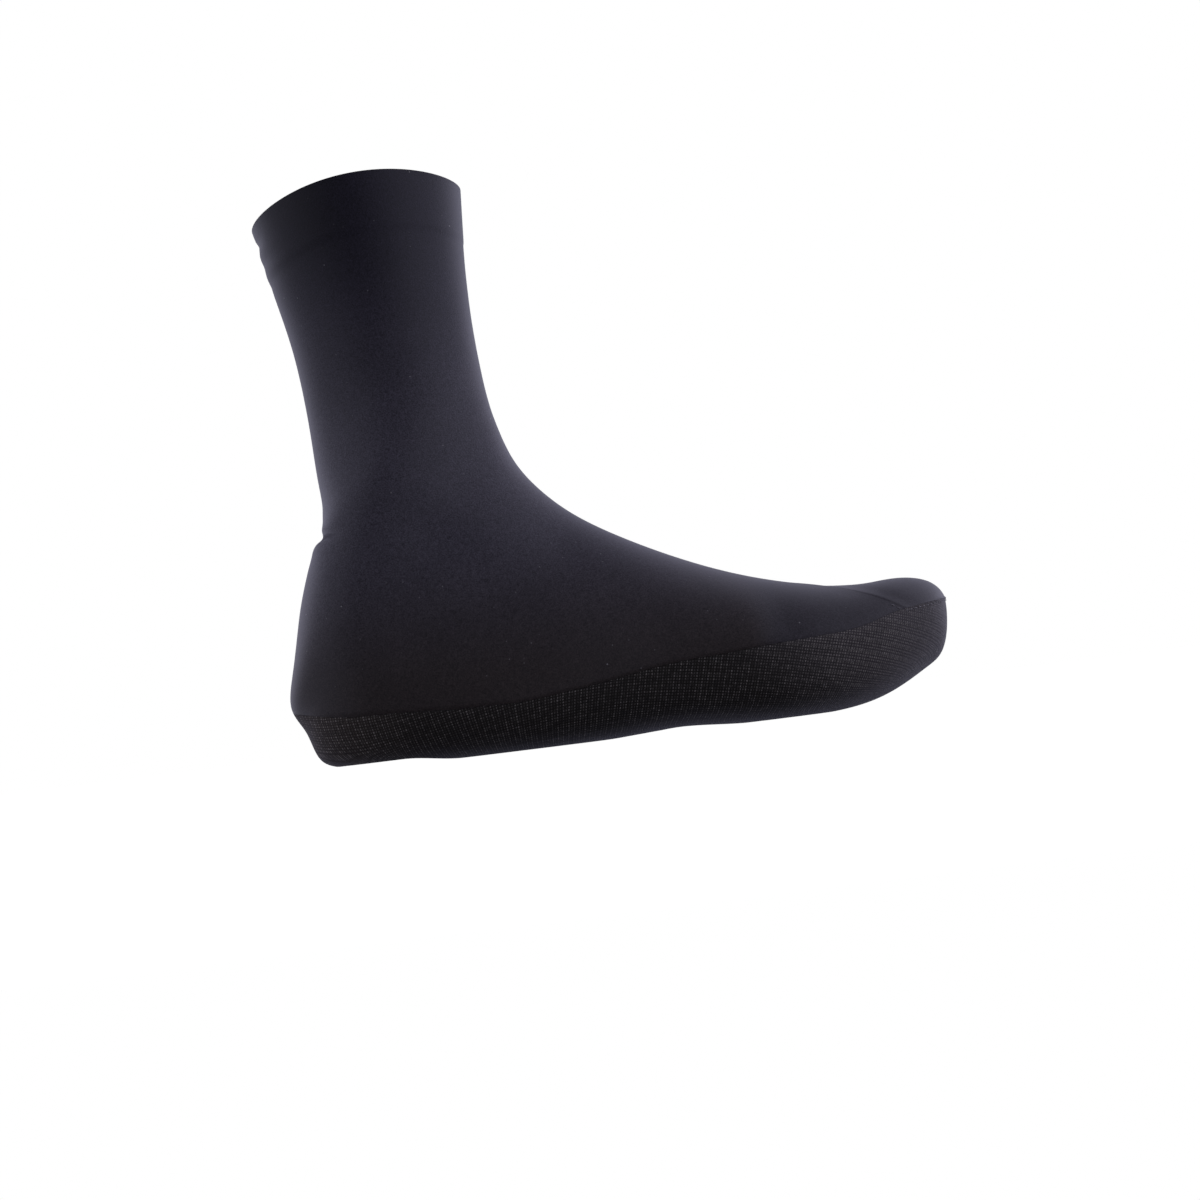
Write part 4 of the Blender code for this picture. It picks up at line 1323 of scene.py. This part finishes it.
def make_floor(stage):
    """Flat pale floor, evenly lit from the camera's side, that throws no light back at the shoe."""
    reach = FLOOR_HALF_SIZE
    corners = [(-reach, -reach), (reach, -reach), (reach, reach), (-reach, reach)]
    mesh = bpy.data.meshes.new("floor")
    mesh.from_pydata([(x, y, -FLOOR_DROP) for x, y in corners], [], [(0, 1, 2, 3)])
    material = bpy.data.materials.new("floor")
    material.use_nodes = True
    shader = material.node_tree.nodes["Principled BSDF"]
    shader.inputs["Base Color"].default_value = (*(FLOOR_GREY * channel for channel in stage.floor), 1.0)
    shader.inputs["Roughness"].default_value = 1.0
    shader.inputs["Specular IOR Level"].default_value = 0.0
    shader.inputs["Emission Color"].default_value = (*stage.floor, 1.0)
    shader.inputs["Emission Strength"].default_value = 1.0
    mesh.materials.append(material)
    floor = bpy.data.objects.new("floor", mesh)
    floor.visible_diffuse = False
    floor.visible_glossy = False
    floor.visible_shadow = False
    bpy.context.collection.objects.link(floor)


def make_light(scene, stage):
    """White background with soft light: bright behind the shoe and at its ends, dim in front and below.

    The light is a sum of smooth steps of the direction's X, Y and Z, times a step that dims it below the
    horizon.
    """
    world = bpy.data.worlds.new("studio")
    world.use_nodes = True
    tree = world.node_tree
    lit = tree.nodes["Background"]
    toward = split(tree, tree.nodes.new("ShaderNodeTexCoord").outputs["Generated"])
    loss = straight(tree, band(tree, toward["Z"], *HIGH_BACK_RANGE), -HIGH_BACK_LOSS, 1.0)
    behind = times(tree, band(tree, toward["Y"], *BACK_LIGHT_RANGE), loss)
    level = straight(tree, behind, stage.back_light, stage.front_light)
    for axis, limits, strength in (
        ("X", TOE_LIGHT_RANGE, stage.toe_light),
        ("X", HEEL_LIGHT_RANGE, stage.heel_light),
        ("Z", TOP_LIGHT_RANGE, stage.top_light),
    ):
        level = straight(tree, band(tree, toward[axis], *limits), strength, level)
    above = band(tree, toward["Z"], *HORIZON_RANGE)
    level = times(tree, level, straight(tree, above, 1.0 - BELOW_HORIZON, BELOW_HORIZON))
    lit.inputs["Color"].default_value = (*stage.light_tint, 1.0)
    tree.links.new(level, lit.inputs["Strength"])
    plain = tree.nodes.new("ShaderNodeBackground")
    plain.inputs["Color"].default_value = (*stage.floor, 1.0)
    seen = tree.nodes.new("ShaderNodeMixShader")
    tree.links.new(tree.nodes.new("ShaderNodeLightPath").outputs["Is Camera Ray"], seen.inputs[0])
    tree.links.new(lit.outputs[0], seen.inputs[1])
    tree.links.new(plain.outputs[0], seen.inputs[2])
    tree.links.new(seen.outputs[0], tree.nodes["World Output"].inputs["Surface"])
    scene.world = world


def make_camera(scene, stage):
    """Camera at the outer side, low over the floor, pitched up a little and rolled."""
    data = bpy.data.cameras.new("camera")
    data.lens = stage.lens
    data.sensor_width = SENSOR_WIDTH
    data.clip_end = 4.0 * FLOOR_HALF_SIZE
    pitch = np.arctan2(CAMERA_AIM_HEIGHT - CAMERA_PLACE[2], -CAMERA_PLACE[1])
    turn = Matrix.Rotation(np.pi / 2.0 + pitch, 4, "X") @ Matrix.Rotation(-CAMERA_ROLL, 4, "Z")
    camera = bpy.data.objects.new("camera", data)
    camera.matrix_world = Matrix.Translation(CAMERA_PLACE) @ turn
    bpy.context.collection.objects.link(camera)
    scene.camera = camera


PIECES = (
    OVERSHOE_OT_make_upper,
    OVERSHOE_OT_make_toe_panel,
    OVERSHOE_OT_make_sole,
    OVERSHOE_OT_make_cuff_band,
    OVERSHOE_OT_make_stitches,
    OVERSHOE_OT_make_stage,
)


class OVERSHOE_PT_pieces(bpy.types.Panel):
    """Lists the overshoe's pieces and the stage"""

    bl_idname = "OVERSHOE_PT_pieces"
    bl_label = "Cycling overshoe"
    bl_space_type = "VIEW_3D"
    bl_region_type = "UI"
    bl_category = "Overshoe"

    def draw(self, context):
        for piece in PIECES:
            self.layout.operator(piece.bl_idname)
        scene = context.scene
        for settings in (scene.overshoe_sizes, scene.overshoe_colors, scene.overshoe_stage):
            box = self.layout.box()
            for name in settings.__annotations__:
                box.prop(settings, name)


CLASSES = (OvershoeSizes, OvershoeColors, OvershoeStage, *PIECES, OVERSHOE_PT_pieces)


def register():
    """Register the classes and their settings on the scene."""
    for entry in CLASSES:
        bpy.utils.register_class(entry)
    bpy.types.Scene.overshoe_sizes = bpy.props.PointerProperty(type=OvershoeSizes)
    bpy.types.Scene.overshoe_colors = bpy.props.PointerProperty(type=OvershoeColors)
    bpy.types.Scene.overshoe_stage = bpy.props.PointerProperty(type=OvershoeStage)


def unregister():
    """Remove the settings and the classes."""
    del bpy.types.Scene.overshoe_sizes
    del bpy.types.Scene.overshoe_colors
    del bpy.types.Scene.overshoe_stage
    for entry in reversed(CLASSES):
        bpy.utils.unregister_class(entry)


def main():
    """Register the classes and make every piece."""
    register()
    bpy.ops.overshoe.make_upper()
    bpy.ops.overshoe.make_toe_panel()
    bpy.ops.overshoe.make_sole()
    bpy.ops.overshoe.make_cuff_band()
    bpy.ops.overshoe.make_stitches()
    bpy.ops.overshoe.make_stage()


if __name__ == "__main__":
    main()
